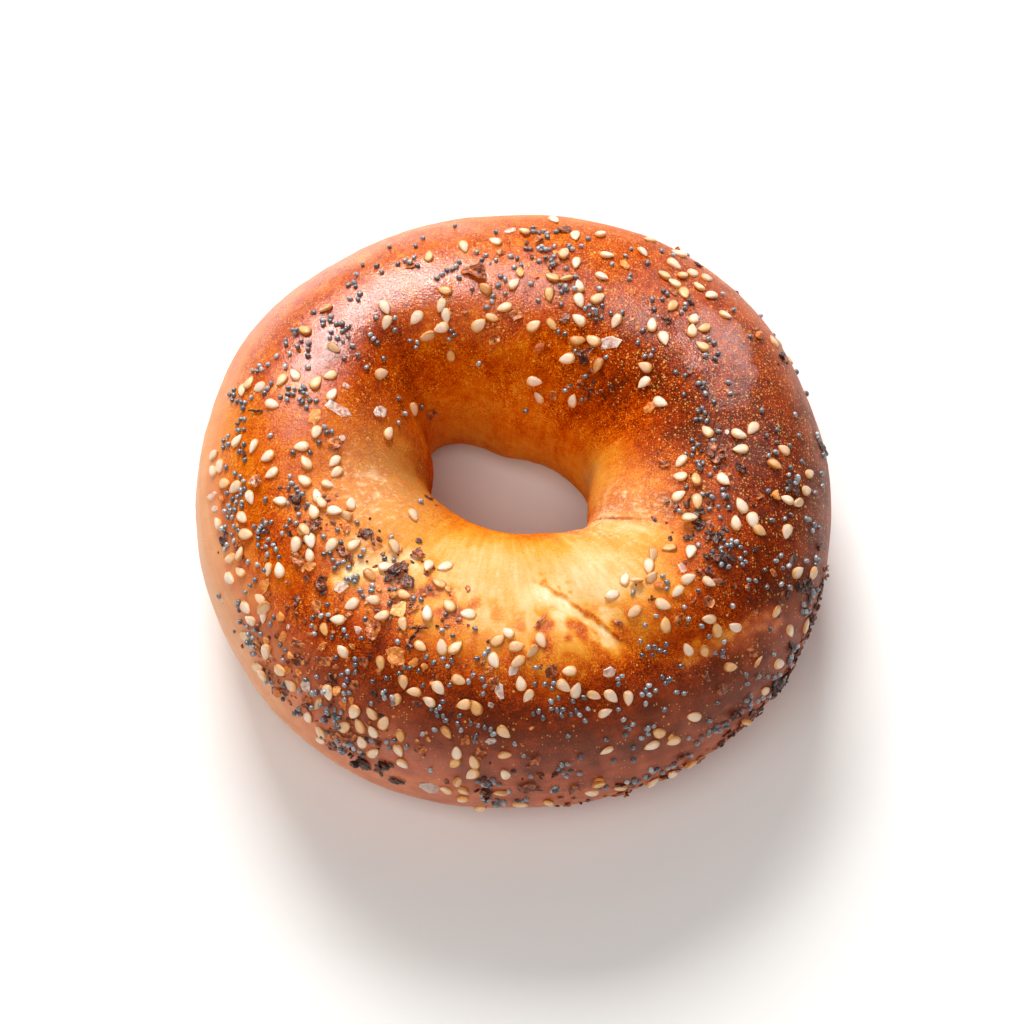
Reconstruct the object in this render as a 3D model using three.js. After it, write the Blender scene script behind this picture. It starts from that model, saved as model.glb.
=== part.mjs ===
// A large everything bagel, standing flat on its base.
//
// Units are millimetres, +Z is up, +X is the bagel's right and +Y its back.  The origin is
// the middle of the base.  The bagel is one closed ring of dough.  A section is carried round
// the ring: from the hole's edge over the crown, down the outer side and back under the flat
// base.  Swellings and creases are then added along the surface's own normal.

import * as THREE from "three";
import { mergeVertices } from "three/addons/utils/BufferGeometryUtils.js";

// --- driving dimensions -----------------------------------------------------------------

// Outer rim, seen from above: an oval with a few swellings.  Angles are degrees from +X,
// turning towards +Y, and a swelling fades out `reach` degrees from its middle.
const RIM = {
  halfWidth: 59.5,
  halfDepth: 59,
  swellings: [
    { at: 52, reach: 45, out: 1.8 },
    { at: 150, reach: 28, out: 1.2 },
    { at: 238, reach: 35, out: 0.9 },
    { at: 318, reach: 45, out: 1.5 },
  ],
};

// Hole, seen from above at its narrowest level: a slanted oval, a little off the middle.
const HOLE = {
  centre: new THREE.Vector2(-1, 1.8),
  halfLength: 15.2,
  halfWidth: 11.2,
  slant: -20,
  swellings: [
    { at: 127, reach: 38, out: 5.1 },
    { at: 168, reach: 20, out: -0.6 },
    { at: 320, reach: 30, out: 1.8 },
  ],
};

// Section of the ring.  `across` runs from the hole's edge (0) to the rim (1).
const CROWN_HEIGHT = 42;
const CROWN_ACROSS = 0.48;
const HOLE_LEVEL = 20; // height at which the hole is narrowest
const RIM_LEVEL = 18.5; // height at which the ring is widest
const BASE_FROM = 0.27; // the flat base, across the section
const BASE_TO = 0.76;
const TOP_POWER = 2.15; // superellipse powers: 2 is a round quarter, more is squarer
const UNDER_POWER = 2.15;

// The crown rises and dips a little round the ring.
const CROWN_SWELLINGS = [
  { at: 20, reach: 50, out: -0.8 },
  { at: 105, reach: 60, out: 0.4 },
  { at: 185, reach: 40, out: -0.7 },
  { at: 285, reach: 45, out: 0.6 },
];

// Swellings of the skin: the middle seen from above, the reach and the height.
const SWELLINGS = {
  lappedEnd: { middle: [28, -28], reach: 15, out: 1.7 },
  frontBulge: { middle: [7, -42], reach: 17, out: 1.3 },
  leftFrontBulge: { middle: [-26, -37], reach: 18, out: 0.9 },
  leftBulge: { middle: [-40, 3], reach: 18, out: 0.8 },
  backBulge: { middle: [-14, 35], reach: 20, out: 0.8 },
  rightBulge: { middle: [36, 19], reach: 20, out: 0.8 },
};

// Creases of the skin: a bent line seen from above, its depth, and the reach to either side.
const CREASES = {
  seam: { line: [[14, -9], [21, -13.5], [33, -18.5]], reach: 6, depth: 0.8 },
  tear: { line: [[4, -26], [12, -33], [19, -38.5], [25, -42]], reach: 6.5, depth: 1.5 },
  rightFold: { line: [[32, -40], [41, -35], [51, -28]], reach: 6.5, depth: 1 },
  leftFold: { line: [[-13, -17], [-25, -24], [-37, -28]], reach: 7, depth: 1 },
  leftPucker: { line: [[-16, -1], [-27, -4], [-36, -5]], reach: 7, depth: 0.6 },
  holeCorner: { line: [[-13, 13], [-18, 18], [-22, 21]], reach: 7, depth: 1.4 },
  backPucker: { line: [[14, 4], [18, 8], [22, 12]], reach: 7, depth: 0.6 },
};

// Swellings and creases fade out between these heights, so the base stays flat.
const SKIN_FADE_FROM = 8;
const SKIN_FADE_TO = 20;

// Mesh density: sections round the ring, and points on each stretch of a section.
const SECTIONS = 112;
const STEPS = { innerTop: 13, outerTop: 15, outerUnder: 7, base: 4, innerUnder: 5 };
const WELD = 1e-4; // points closer than this are one point

const { degToRad, euclideanModulo, lerp, radToDeg, smoothstep } = THREE.MathUtils;

// --- outlines ---------------------------------------------------------------------------

// Round hump of height 1 that is gone at the distance `reach`.
function hump(distance, reach) {
  return distance < reach ? 0.5 + 0.5 * Math.cos((Math.PI * distance) / reach) : 0;
}

// Degrees between two directions, from 0 to 180.
function turnBetween(first, second) {
  return Math.abs(euclideanModulo(first - second + 180, 360) - 180);
}

// Height of the swellings together at an angle, given in radians.
function swell(angle, swellings) {
  let height = 0;
  for (const { at, reach, out } of swellings) {
    height += out * hump(turnBetween(radToDeg(angle), at), reach);
  }
  return height;
}

function ovalRadius(angle, halfLength, halfWidth) {
  const run = halfWidth * Math.cos(angle);
  const rise = halfLength * Math.sin(angle);
  return (halfLength * halfWidth) / Math.hypot(run, rise);
}

function rimPoint(angle) {
  const radius = ovalRadius(angle, RIM.halfWidth, RIM.halfDepth) + swell(angle, RIM.swellings);
  return new THREE.Vector2(radius, 0).rotateAround(new THREE.Vector2(), angle);
}

function holePoint(angle) {
  const turn = angle - degToRad(HOLE.slant);
  const radius = ovalRadius(turn, HOLE.halfLength, HOLE.halfWidth) + swell(angle, HOLE.swellings);
  return new THREE.Vector2(radius, 0).rotateAround(new THREE.Vector2(), angle).add(HOLE.centre);
}

// --- section ----------------------------------------------------------------------------

// Runs a superellipse quarter from (rise 0, run 1) to (rise 1, run 0), without its last point.
function quarter(steps, power, place) {
  return Array.from({ length: steps }, (_, step) => {
    const turn = (step / steps) * (Math.PI / 2);
    return place(Math.sin(turn) ** (2 / power), Math.cos(turn) ** (2 / power));
  });
}

// The section's points as [across, height], from the hole's edge over the crown and back.
function sectionPoints(crown) {
  const innerTop = quarter(STEPS.innerTop, TOP_POWER, (rise, run) => [
    CROWN_ACROSS * (1 - run),
    HOLE_LEVEL + (crown - HOLE_LEVEL) * rise,
  ]);
  const outerTop = quarter(STEPS.outerTop, TOP_POWER, (rise, run) => [
    CROWN_ACROSS + (1 - CROWN_ACROSS) * rise,
    RIM_LEVEL + (crown - RIM_LEVEL) * run,
  ]);
  const outerUnder = quarter(STEPS.outerUnder, UNDER_POWER, (rise, run) => [
    BASE_TO + (1 - BASE_TO) * run,
    RIM_LEVEL * (1 - rise),
  ]);
  const base = Array.from({ length: STEPS.base }, (_, step) => [
    lerp(BASE_TO, BASE_FROM, step / STEPS.base),
    0,
  ]);
  const innerUnder = quarter(STEPS.innerUnder, UNDER_POWER, (rise, run) => [
    BASE_FROM * (1 - rise),
    HOLE_LEVEL * (1 - run),
  ]);
  return [...innerTop, ...outerTop, ...outerUnder, ...base, ...innerUnder];
}

// --- the ring ---------------------------------------------------------------------------

// A grid of points: one row for each section round the ring.
function ringRows() {
  return Array.from({ length: SECTIONS }, (_, ring) => {
    const angle = (ring / SECTIONS) * 2 * Math.PI;
    const inner = holePoint(angle);
    const outer = rimPoint(angle);
    const crown = CROWN_HEIGHT + swell(angle, CROWN_SWELLINGS);
    return sectionPoints(crown).map(([across, height]) => {
      const place = inner.clone().lerp(outer, across);
      return new THREE.Vector3(place.x, place.y, height);
    });
  });
}

function ringGeometry(rows) {
  const steps = rows[0].length;
  const faces = [];
  for (let ring = 0; ring < rows.length; ring += 1) {
    const nextRing = (ring + 1) % rows.length;
    for (let step = 0; step < steps; step += 1) {
      const nextStep = (step + 1) % steps;
      const here = ring * steps + step;
      const beside = nextRing * steps + step;
      const above = ring * steps + nextStep;
      const across = nextRing * steps + nextStep;
      faces.push(here, across, beside);
      faces.push(here, above, across);
    }
  }
  const geometry = new THREE.BufferGeometry().setFromPoints(rows.flat());
  geometry.setIndex(faces);
  return mergeVertices(geometry, WELD);
}

// --- the skin's swellings and creases ---------------------------------------------------

// Distance from a point to a bent line, both seen from above.
function distanceToLine(point, line) {
  const nearest = new THREE.Vector3();
  const distances = line.slice(1).map((end, index) => {
    const from = new THREE.Vector3(...line[index], 0);
    const span = new THREE.Line3(from, new THREE.Vector3(...end, 0));
    return span.closestPointToPoint(point, true, nearest).distanceTo(point);
  });
  return Math.min(...distances);
}

// How far the skin stands out of the plain ring at a point.
function skinOffset(point) {
  const plan = new THREE.Vector3(point.x, point.y, 0);
  let offset = 0;
  for (const { middle, reach, out } of Object.values(SWELLINGS)) {
    offset += out * hump(plan.distanceTo(new THREE.Vector3(...middle, 0)), reach);
  }
  for (const { line, reach, depth } of Object.values(CREASES)) {
    offset -= depth * hump(distanceToLine(plan, line), reach);
  }
  return offset * smoothstep(point.z, SKIN_FADE_FROM, SKIN_FADE_TO);
}

// Moves every point along its normal by the skin's offset there.
function raiseSkin(geometry) {
  geometry.computeVertexNormals();
  const { position, normal } = geometry.attributes;
  const point = new THREE.Vector3();
  const out = new THREE.Vector3();
  for (let index = 0; index < position.count; index += 1) {
    point.fromBufferAttribute(position, index);
    out.fromBufferAttribute(normal, index);
    point.addScaledVector(out, skinOffset(point));
    position.setXYZ(index, point.x, point.y, point.z);
  }
  geometry.computeVertexNormals();
  return geometry;
}

// Moves the geometry so that the origin is under the middle of its box, at the base.
function standOnOrigin(geometry) {
  geometry.computeBoundingBox();
  const middle = geometry.boundingBox.getCenter(new THREE.Vector3());
  return geometry.translate(-middle.x, -middle.y, -geometry.boundingBox.min.z);
}

// --- the model --------------------------------------------------------------------------

const crust = new THREE.MeshStandardMaterial({ color: 0xc8782f, roughness: 0.45, metalness: 0 });
const bagel = new THREE.Mesh(standOnOrigin(raiseSkin(ringGeometry(ringRows()))), crust);
bagel.name = "bagel";

const model = new THREE.Group();
model.add(bagel);

export default model;
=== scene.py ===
"""An everything bagel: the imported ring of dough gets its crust, its folds and its toppings.

Lengths below are in millimetres unless a name says otherwise, and MM turns them into metres.
A place on the ring is given by two angles: `ring`, degrees round the hole from +X, and
`section`, degrees round the dough from the hole's side (0) over the crown (90) to the rim
(180) and the base (270).
"""

import math

import bpy
import numpy as np
from mathutils import Matrix, Vector, noise
from mathutils.bvhtree import BVHTree
from mathutils.kdtree import KDTree


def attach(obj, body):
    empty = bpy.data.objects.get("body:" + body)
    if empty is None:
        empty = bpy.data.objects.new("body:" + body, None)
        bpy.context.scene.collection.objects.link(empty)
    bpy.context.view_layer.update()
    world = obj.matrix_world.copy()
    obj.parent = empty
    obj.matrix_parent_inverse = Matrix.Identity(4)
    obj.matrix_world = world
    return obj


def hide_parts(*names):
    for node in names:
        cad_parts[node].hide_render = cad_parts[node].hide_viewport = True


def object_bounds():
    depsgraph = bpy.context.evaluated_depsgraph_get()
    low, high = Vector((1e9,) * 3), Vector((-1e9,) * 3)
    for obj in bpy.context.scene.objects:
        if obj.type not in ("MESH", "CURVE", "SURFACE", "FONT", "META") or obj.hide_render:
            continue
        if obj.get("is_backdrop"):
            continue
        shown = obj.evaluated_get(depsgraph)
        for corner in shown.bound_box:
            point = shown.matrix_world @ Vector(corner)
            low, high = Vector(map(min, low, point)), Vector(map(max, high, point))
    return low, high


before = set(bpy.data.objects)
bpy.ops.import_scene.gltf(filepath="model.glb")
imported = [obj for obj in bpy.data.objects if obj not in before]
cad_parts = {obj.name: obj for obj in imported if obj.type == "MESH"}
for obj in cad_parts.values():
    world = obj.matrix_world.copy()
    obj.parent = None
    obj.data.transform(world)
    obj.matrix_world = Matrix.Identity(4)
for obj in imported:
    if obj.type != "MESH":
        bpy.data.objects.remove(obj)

CAD_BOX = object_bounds()
MM = 0.001
TURN = 360.0
TURN_RADIANS = 2.0 * math.pi
NOISE_SEED = 1

# Noise vectors start from a place that depends on the clock unless they are seeded.
noise.seed_set(NOISE_SEED)

# --- camera -------------------------------------------------------------------------------

CAMERA_ELEVATION = 63.0  # degrees above the table
CAMERA_DISTANCE = 600.0
CAMERA_AIM = Vector((-0.25, -1.9, 19.0))
FRAME_PIXELS = 1024
PIXELS_PER_MM = 5.33  # at the aim point
SENSOR_WIDTH = 36.0
CLIP_START = 0.01  # metres


def camera_axes():
    """Unit vectors to the image's right, to its top, and from the aim back to the camera."""
    tilt = math.radians(CAMERA_ELEVATION)
    right = Vector((1, 0, 0))
    back = Vector((0, -math.cos(tilt), math.sin(tilt)))
    return right, back.cross(right), back


def camera_place():
    return CAMERA_AIM + camera_axes()[2] * CAMERA_DISTANCE


def pixel_direction(x, y):
    """Direction from the camera through a pixel of the 1024-pixel frame."""
    right, up, back = camera_axes()
    reach = PIXELS_PER_MM * CAMERA_DISTANCE
    middle = FRAME_PIXELS / 2
    return (right * ((x - middle) / reach) - up * ((y - middle) / reach) - back).normalized()


def make_camera():
    right, up, back = camera_axes()
    data = bpy.data.cameras.new("camera")
    data.sensor_width = SENSOR_WIDTH
    data.lens = PIXELS_PER_MM * CAMERA_DISTANCE * SENSOR_WIDTH / FRAME_PIXELS
    data.clip_start = CLIP_START
    camera = bpy.data.objects.new("camera", data)
    turn = Matrix((right, up, back)).transposed().to_4x4()
    camera.matrix_world = Matrix.Translation(camera_place() * MM) @ turn
    bpy.context.scene.collection.objects.link(camera)
    bpy.context.scene.camera = camera


make_camera()

# --- small helpers ------------------------------------------------------------------------


def smooth(value, low, high):
    """0 below low, 1 above high, and a smooth rise between."""
    share = np.clip((value - low) / (high - low), 0.0, 1.0)
    return share * share * (3.0 - 2.0 * share)


def turn_between(first, second):
    """Degrees between two directions, from 0 to 180."""
    return np.abs((first - second + TURN / 2) % TURN - TURN / 2)


def bell(distance, reach):
    """1 at distance 0, about a third at the reach, and fading beyond it."""
    return np.exp(-((distance / reach) ** 2))


def noise_field(points, size, seed=0.0):
    """Smooth noise, about -1 to 1, with features `size` across; size may differ by axis."""
    scaled = points.reshape(-1, 3) / np.asarray(size, float) + seed
    values = np.array([noise.noise(Vector(place)) for place in scaled])
    return values.reshape(points.shape[:-1])


def layered_noise(points, *layers):
    """Noise added up from layers, each given as (height, size, seed)."""
    return sum(height * noise_field(points, size, seed) for height, size, seed in layers)


def line_distance(points, line):
    """Each point's distance in plan from a bent line, share along it, and side (1 or -1)."""
    line = np.asarray(line, float)
    spans = np.diff(line, axis=0)
    lengths = np.linalg.norm(spans, axis=1)
    starts = np.concatenate(([0.0], np.cumsum(lengths)))
    plan = points[..., :2]
    best = np.full(plan.shape[:-1], np.inf)
    along = np.zeros(plan.shape[:-1])
    side = np.zeros(plan.shape[:-1])
    for start, span, length, done in zip(line, spans, lengths, starts):
        offset = plan - start
        share = np.clip((offset @ span) / length**2, 0.0, 1.0)
        gap = offset - share[..., None] * span
        distance = np.linalg.norm(gap, axis=-1)
        nearer = distance < best
        best = np.where(nearer, distance, best)
        along = np.where(nearer, (done + share * length) / starts[-1], along)
        cross = span[0] * offset[..., 1] - span[1] * offset[..., 0]
        side = np.where(nearer, np.sign(cross), side)
    return best, along, side


# --- the ring's fine grid -----------------------------------------------------------------

RING_STEPS = 520
SECTION_STEPS = 190
CORE_LEVEL = 20.0  # height of the dough's core line
CORE_ACROSS = 0.47  # place of the core line between the hole and the rim
FACET_BLUR = 3.2  # grid steps over which the CAD's facets are smoothed away
DENSITY_STEP = 0.25  # degrees between the places where the density of the lines is added up
OUTSIDE = 200.0  # farther from the hole than any point of the rim
PROBE_STEP = 5  # degrees between the casts that look for the middle of the hole
PROBE_ROUNDS = 3

# Grid lines lie closer together at the tear in the front and over the crown.
RING_FOCUS = dict(at=300.0, reach=38.0, gain=1.6)
SECTION_FOCUS = dict(at=90.0, reach=85.0, gain=1.0)


def spaced_angles(steps, at, reach, gain):
    """Angles round a full turn that crowd together near `at`."""
    fine = np.arange(0.0, TURN, DENSITY_STEP)
    density = 1.0 + gain * bell(turn_between(fine, at), reach)
    done = np.concatenate(([0.0], np.cumsum(density)))
    return np.interp(np.linspace(0.0, done[-1], steps, endpoint=False), done, np.append(fine, TURN))


def cad_tree():
    """The CAD ring for ray casts, in millimetres."""
    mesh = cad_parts["bagel"].data
    corners = [tuple(v.co / MM) for v in mesh.vertices]
    return BVHTree.FromPolygons(corners, [tuple(p.vertices) for p in mesh.polygons])


def blur(grid, steps):
    """Gaussian blur of a grid that wraps round both ways."""
    for axis in (0, 1):
        count = grid.shape[axis]
        turns = np.fft.fftfreq(count)
        gain = np.exp(-2.0 * (math.pi * turns * steps) ** 2)
        shape = [1, 1]
        shape[axis] = count
        grid = np.fft.ifft(np.fft.fft(grid, axis=axis) * gain.reshape(shape), axis=axis).real
    return grid


def hole_middle(tree):
    """Middle of the hole at the core's level, settled on by casts to its wall all round."""
    turns = np.radians(np.arange(0, 360, PROBE_STEP))
    probes = [Vector((math.cos(turn), math.sin(turn), 0.0)) for turn in turns]
    middle = Vector((0.0, 0.0, CORE_LEVEL))
    for _ in range(PROBE_ROUNDS):
        middle = sum((tree.ray_cast(middle, probe)[0] for probe in probes), Vector()) / len(probes)
    return middle


def ring_grid():
    """Points of the smooth ring as an array (ring, section, xyz), with both angles."""
    tree = cad_tree()
    middle = hole_middle(tree)
    rings = spaced_angles(RING_STEPS, **RING_FOCUS)
    sections = spaced_angles(SECTION_STEPS, **SECTION_FOCUS)
    turns = np.radians(rings)
    swings = np.radians(sections)
    outs = np.stack([np.cos(turns), np.sin(turns), np.zeros(RING_STEPS)], 1)
    cores = np.zeros((RING_STEPS, 3))
    spread = np.zeros((RING_STEPS, SECTION_STEPS))
    for ring, heading in enumerate(outs):
        out = Vector(heading)
        inner = tree.ray_cast(middle, out)[3]
        outer = OUTSIDE - tree.ray_cast(middle + out * OUTSIDE, -out)[3]
        core = middle + out * (inner + CORE_ACROSS * (outer - inner))
        cores[ring] = core
        for step, swing in enumerate(swings):
            ray = Vector((0, 0, 1)) * math.sin(swing) - out * math.cos(swing)
            spread[ring, step] = tree.ray_cast(core, ray)[3]
    spread = blur(spread, FACET_BLUR)
    rays = np.sin(swings)[None, :, None] * np.array([0.0, 0.0, 1.0])
    rays = rays - np.cos(swings)[None, :, None] * outs[:, None, :]
    return cores[:, None, :] + spread[..., None] * rays, rings, sections


def grid_normals(points):
    """Unit normals of the grid's surface, pointing out of the dough."""
    along = np.roll(points, -1, 0) - np.roll(points, 1, 0)
    across = np.roll(points, -1, 1) - np.roll(points, 1, 1)
    normals = np.cross(across, along)
    return normals / np.linalg.norm(normals, axis=-1, keepdims=True)


def grid_quads(rings, steps):
    """Faces between the points of a grid that wraps round both ways."""
    index = np.arange(rings * steps).reshape(rings, steps)
    after = np.roll(index, -1, 1)
    quads = np.stack([index, after, np.roll(after, -1, 0), np.roll(index, -1, 0)], -1)
    return quads.reshape(-1, 4).tolist()


GRID, RINGS, SECTIONS = ring_grid()
RING_ANGLE = np.broadcast_to(RINGS[:, None], GRID.shape[:2])

# Section angles counted from the base, so from -90 over the hole's side (0) to 270.
ACROSS = np.broadcast_to((SECTIONS + 90.0) % TURN - 90.0, GRID.shape[:2])

# --- the skin's relief --------------------------------------------------------------------

# The skin's relief fades out between these heights, so that the base stays flat.
SKIN_FADE = (1.5, 7.0)

# Lines seen from above, each with the size of its wobble and the seed of the wobble's noise.
TEAR = dict(
    line=((2.5, -25.5), (5.5, -28), (8.3, -30), (12.2, -33.3), (15.7, -35.9), (18.6, -38.4), (21.5, -40.4)),
    wobble=0.95,
    seed=5.5,
)
SEAM = dict(
    line=((14.2, -9.1), (17, -11.1), (19.8, -12.6), (25, -14.7), (31.6, -16.8)),
    wobble=0.3,
    seed=2.5,
)
SEAM_CRACK = dict(
    line=((14.6, -9.5), (16.2, -10.5), (17.8, -11.2), (20, -12.7), (25, -14.7), (29, -16.1)),
    wobble=0.25,
    seed=8.5,
)
RIGHT_FOLD = dict(
    line=((27, -42.5), (34.2, -39), (40.1, -35.4), (46.3, -31.3), (50, -28.6)),
    wobble=0.9,
    seed=4.0,
)
LEFT_FOLD = dict(
    line=((-14.9, -20), (-20, -22.2), (-25.7, -23.8), (-34.6, -26.6)),
    wobble=0.9,
    seed=6.0,
)

# The tear's lip and its open dough, the seam's ridge and crack, and the outer folds.
LIP_HEIGHT = 0.50
LIP_REACH = 2.2
DOUGH_DEPTH = 0.34
FIBRE_HEIGHT = 0.20
RIDGE_HEIGHT = 0.35
CRACK_DEPTH = 0.55
CRACK_REACH = 0.26
FOLD_HEIGHT = 0.30
FOLD_DEPTH = 0.35

STRAND_RADIUS = 60.0  # at which the ring's angles are laid out
STRAND_STEP = 0.36  # across the section, for each degree

PLEAT_WIDTH = 3.2  # of the radial pleats round the hole
PLEAT_LENGTH = 22.0
PLEAT_RADIUS = 24.0  # from the hole's middle, where the pleats have their width
PLEAT_HEIGHT = 0.13
STREAK_WIDTH = 1.6  # of the stretched skin on the sides
STREAK_LENGTH = 24.0
STREAK_HEIGHT = 0.05

BLISTERS = 900
BLISTER_SEED = 11
BLISTER_RADIUS = (0.45, 1.05)
BLISTER_HEIGHT = 0.09  # share of the blister's radius

SKIN_BUMPS = ((0.28, 14.0, 3.1), (0.10, 5.0, 8.4), (0.045, 2.0, 1.7))  # height, size, seed


def strand_places():
    """Places laid out along the ring (x and y) and across the section (z), in millimetres."""
    turn = np.radians(RING_ANGLE)
    return np.stack([STRAND_RADIUS * np.cos(turn), STRAND_RADIUS * np.sin(turn), STRAND_STEP * ACROSS], -1)


STRANDS = strand_places()


def window(first, last, fade):
    """1 between two section angles and 0 beyond them, with faded ends."""
    return smooth(ACROSS, first - fade, first) * (1.0 - smooth(ACROSS, last, last + fade))


def across_line(points, line, wobble, seed):
    """Signed distance from a line, wobbling a little, and how far along it."""
    distance, along, side = line_distance(points, line)
    signed = distance * side + wobble * noise_field(points, 2.6, seed)
    return signed + 0.4 * wobble * noise_field(points, 0.9, seed + 1.0), along


def faded_ends(along, first=0.2, last=0.8):
    """1 in the middle of a line, fading out before the share `first` and after `last`."""
    return smooth(along, 0.0, first) * (1.0 - smooth(along, last, 1.0))


def torn_skin(points):
    """The tear in front: skin that ends in a thin lip, and open dough that sinks below it."""
    signed, along = across_line(points, **TEAR)
    lip = LIP_HEIGHT * smooth(signed, -0.2, 0.15) * np.exp(-np.maximum(signed, 0.0) / LIP_REACH)
    dough = -DOUGH_DEPTH * bell(signed + 0.8, 1.0)
    fibres = FIBRE_HEIGHT * noise_field(points, 1.0, 6.1) * bell(signed + 1.8, 2.4)
    return (lip + dough + fibres) * faded_ends(along, 0.3, 0.8)


def seam_skin(points):
    """The thin crack where the dough's end laps over, with a low ridge running on from it."""
    signed, along = across_line(points, **SEAM)
    ridge = RIDGE_HEIGHT * bell(signed + 0.6, 1.3) * faded_ends(along, 0.6, 0.85)
    signed, along = across_line(points, **SEAM_CRACK)
    return ridge - CRACK_DEPTH * bell(signed, CRACK_REACH) * faded_ends(along, 0.1, 0.35)


def fold_skin(points):
    """The two outer folds: a soft furrow beside a soft ridge."""
    height = np.zeros(points.shape[:2])
    for fold in (RIGHT_FOLD, LEFT_FOLD):
        signed, along = across_line(points, **fold)
        profile = FOLD_HEIGHT * bell(signed - 2.2, 2.0) - FOLD_DEPTH * bell(signed, 1.5)
        height += profile * faded_ends(along, 0.35, 0.65)
    return height


def pleats():
    """Fine pleats that run out from the hole, like gathered cloth."""
    width = PLEAT_WIDTH * STRAND_RADIUS / PLEAT_RADIUS
    size = np.array([width, width, PLEAT_LENGTH])
    shape = layered_noise(STRANDS, (1.0, size, 2.2), (0.5, 0.45 * size, 7.7))
    return PLEAT_HEIGHT * shape * window(15.0, 50.0, 35.0)


def streaks():
    """Faint long streaks of skin stretched along the sides."""
    size = (STREAK_LENGTH, STREAK_LENGTH, STREAK_WIDTH)
    return STREAK_HEIGHT * noise_field(STRANDS, size, 4.4) * window(135.0, 215.0, 20.0)


def blisters(points):
    """Small round bubbles in the skin, scattered over the whole bagel."""
    rng = np.random.default_rng(BLISTER_SEED)
    flat = points.reshape(-1, 3)
    tree = KDTree(len(flat))
    for index, place in enumerate(flat):
        tree.insert(place, index)
    tree.balance()
    height = np.zeros(len(flat))
    for index in rng.integers(0, len(flat), BLISTERS):
        radius = rng.uniform(*BLISTER_RADIUS)
        for _, near, distance in tree.find_range(Vector(flat[index]), radius):
            rise = BLISTER_HEIGHT * radius * (1.0 - (distance / radius) ** 2)
            height[near] = max(height[near], rise)
    return height.reshape(points.shape[:2])


def relief(points):
    """How far the skin stands out of the smooth ring, in millimetres."""
    height = layered_noise(points, *SKIN_BUMPS)
    height += pleats() + streaks() + blisters(points)
    height += torn_skin(points) + seam_skin(points) + fold_skin(points)
    return height * smooth(points[..., 2], *SKIN_FADE)


# --- browning -----------------------------------------------------------------------------

# How brown the crust is, from 0 (pale dough) to 1 (dark), across the section in twelve
# directions round the ring.  The first row names the section angles.
BROWNING_SECTIONS = (-80, -40, 0, 30, 60, 90, 115, 140, 165, 190, 225, 270)
# Along the hole's left and near walls (rows 180 to 330, sections -40 to 30) the levels are raised, partly
# browning and partly painted shade at the hole's edge.
BROWNING = {
    0: (0.45, 0.36, 0.24, 0.26, 0.66, 0.90, 0.92, 0.92, 0.84, 0.70, 0.60, 0.45),
    30: (0.45, 0.34, 0.34, 0.60, 0.88, 0.92, 0.76, 0.80, 0.72, 0.62, 0.55, 0.45),
    60: (0.45, 0.38, 0.34, 0.50, 0.64, 0.66, 0.62, 0.66, 0.68, 0.58, 0.50, 0.45),
    90: (0.45, 0.40, 0.34, 0.48, 0.62, 0.54, 0.54, 0.46, 0.38, 0.36, 0.50, 0.45),
    120: (0.45, 0.38, 0.32, 0.46, 0.62, 0.62, 0.56, 0.50, 0.48, 0.42, 0.45, 0.45),
    150: (0.45, 0.36, 0.32, 0.54, 0.72, 0.72, 0.60, 0.50, 0.46, 0.38, 0.42, 0.45),
    180: (0.45, 0.50, 0.56, 0.58, 0.58, 0.56, 0.50, 0.38, 0.22, 0.20, 0.40, 0.45),
    210: (0.45, 0.50, 0.56, 0.54, 0.38, 0.42, 0.62, 0.52, 0.27, 0.16, 0.40, 0.45),
    240: (0.45, 0.48, 0.52, 0.46, 0.26, 0.26, 0.64, 0.88, 0.66, 0.42, 0.45, 0.45),
    270: (0.45, 0.48, 0.50, 0.42, 0.24, 0.12, 0.46, 0.95, 0.86, 0.62, 0.50, 0.45),
    300: (0.45, 0.50, 0.58, 0.48, 0.22, 0.12, 0.44, 0.95, 0.86, 0.66, 0.55, 0.45),
    330: (0.45, 0.50, 0.52, 0.36, 0.34, 0.56, 0.90, 0.97, 0.88, 0.72, 0.60, 0.45),
}
BROWNING_BLUR = 4.5  # grid steps
FLAME_SHIFT = 6.5  # grid steps by which the browning's edges lick in and out
PATCH_SHIFT = 3.0
RUN_SHIFT = 3.5

# Patches below are ((ring, section), (reach in each)), all in degrees.
# Orange blotches where the pale skin ends.
BLOTCHES = (
    ((286.0, 103.0), (15.0, 10.0)),
    ((253.0, 92.0), (12.0, 8.0)),
    ((236.0, 84.0), (10.0, 10.0)),
)
BLOTCH_BROWNING = 0.46

# Sharp-edged shiny patches on the right of the crown.
SHINY_RIGHT = (
    ((27.0, 113.0), (11.0, 19.0)),
    ((13.0, 104.0), (5.0, 11.0)),
)

# Dry, floury skin, with the strength of each patch. The patches at 206 and 302 degrees also paint the
# highlight that the lights would leave on the hole's slopes.
DUST_AND_HIGHLIGHT_PATCHES = (
    ((206.0, 70.0), (24.0, 24.0), 0.85),
    ((229.0, 88.0), (18.0, 18.0), 0.9),
    ((324.0, 50.0), (22.0, 34.0), 1.0),
    ((302.0, 78.0), (20.0, 20.0), 0.7),
    ((262.0, 80.0), (34.0, 26.0), 0.6),
)

# Dull tan beside the hole, given like the patches above. The patch on the hole's left slope is painted
# shade, where that slope faces away from the light; the one at the seam is tan skin.
TAN_AND_SHADE_PATCHES = (
    ((196.0, 38.0), (28.0, 34.0), 1.0),
    ((0.0, 10.0), (12.0, 14.0), 0.5),
)

# How the tear, the folds and the seam change the browning.
OPEN_DOUGH_PALE = 0.65
TORN_EDGE = 0.20
TORN_BITS = 0.28
FOLD_PALE = ((RIGHT_FOLD, 0.50, 1.7), (LEFT_FOLD, 0.42, 2.2))  # how much, and the reach
# The seam's crack is darkened along a line finer than the mesh: painted shade in the crack.
CRACK_DARKENING = 0.42
SEAM_BROWN = 0.14
SEAM_PALE = 0.10

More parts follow.
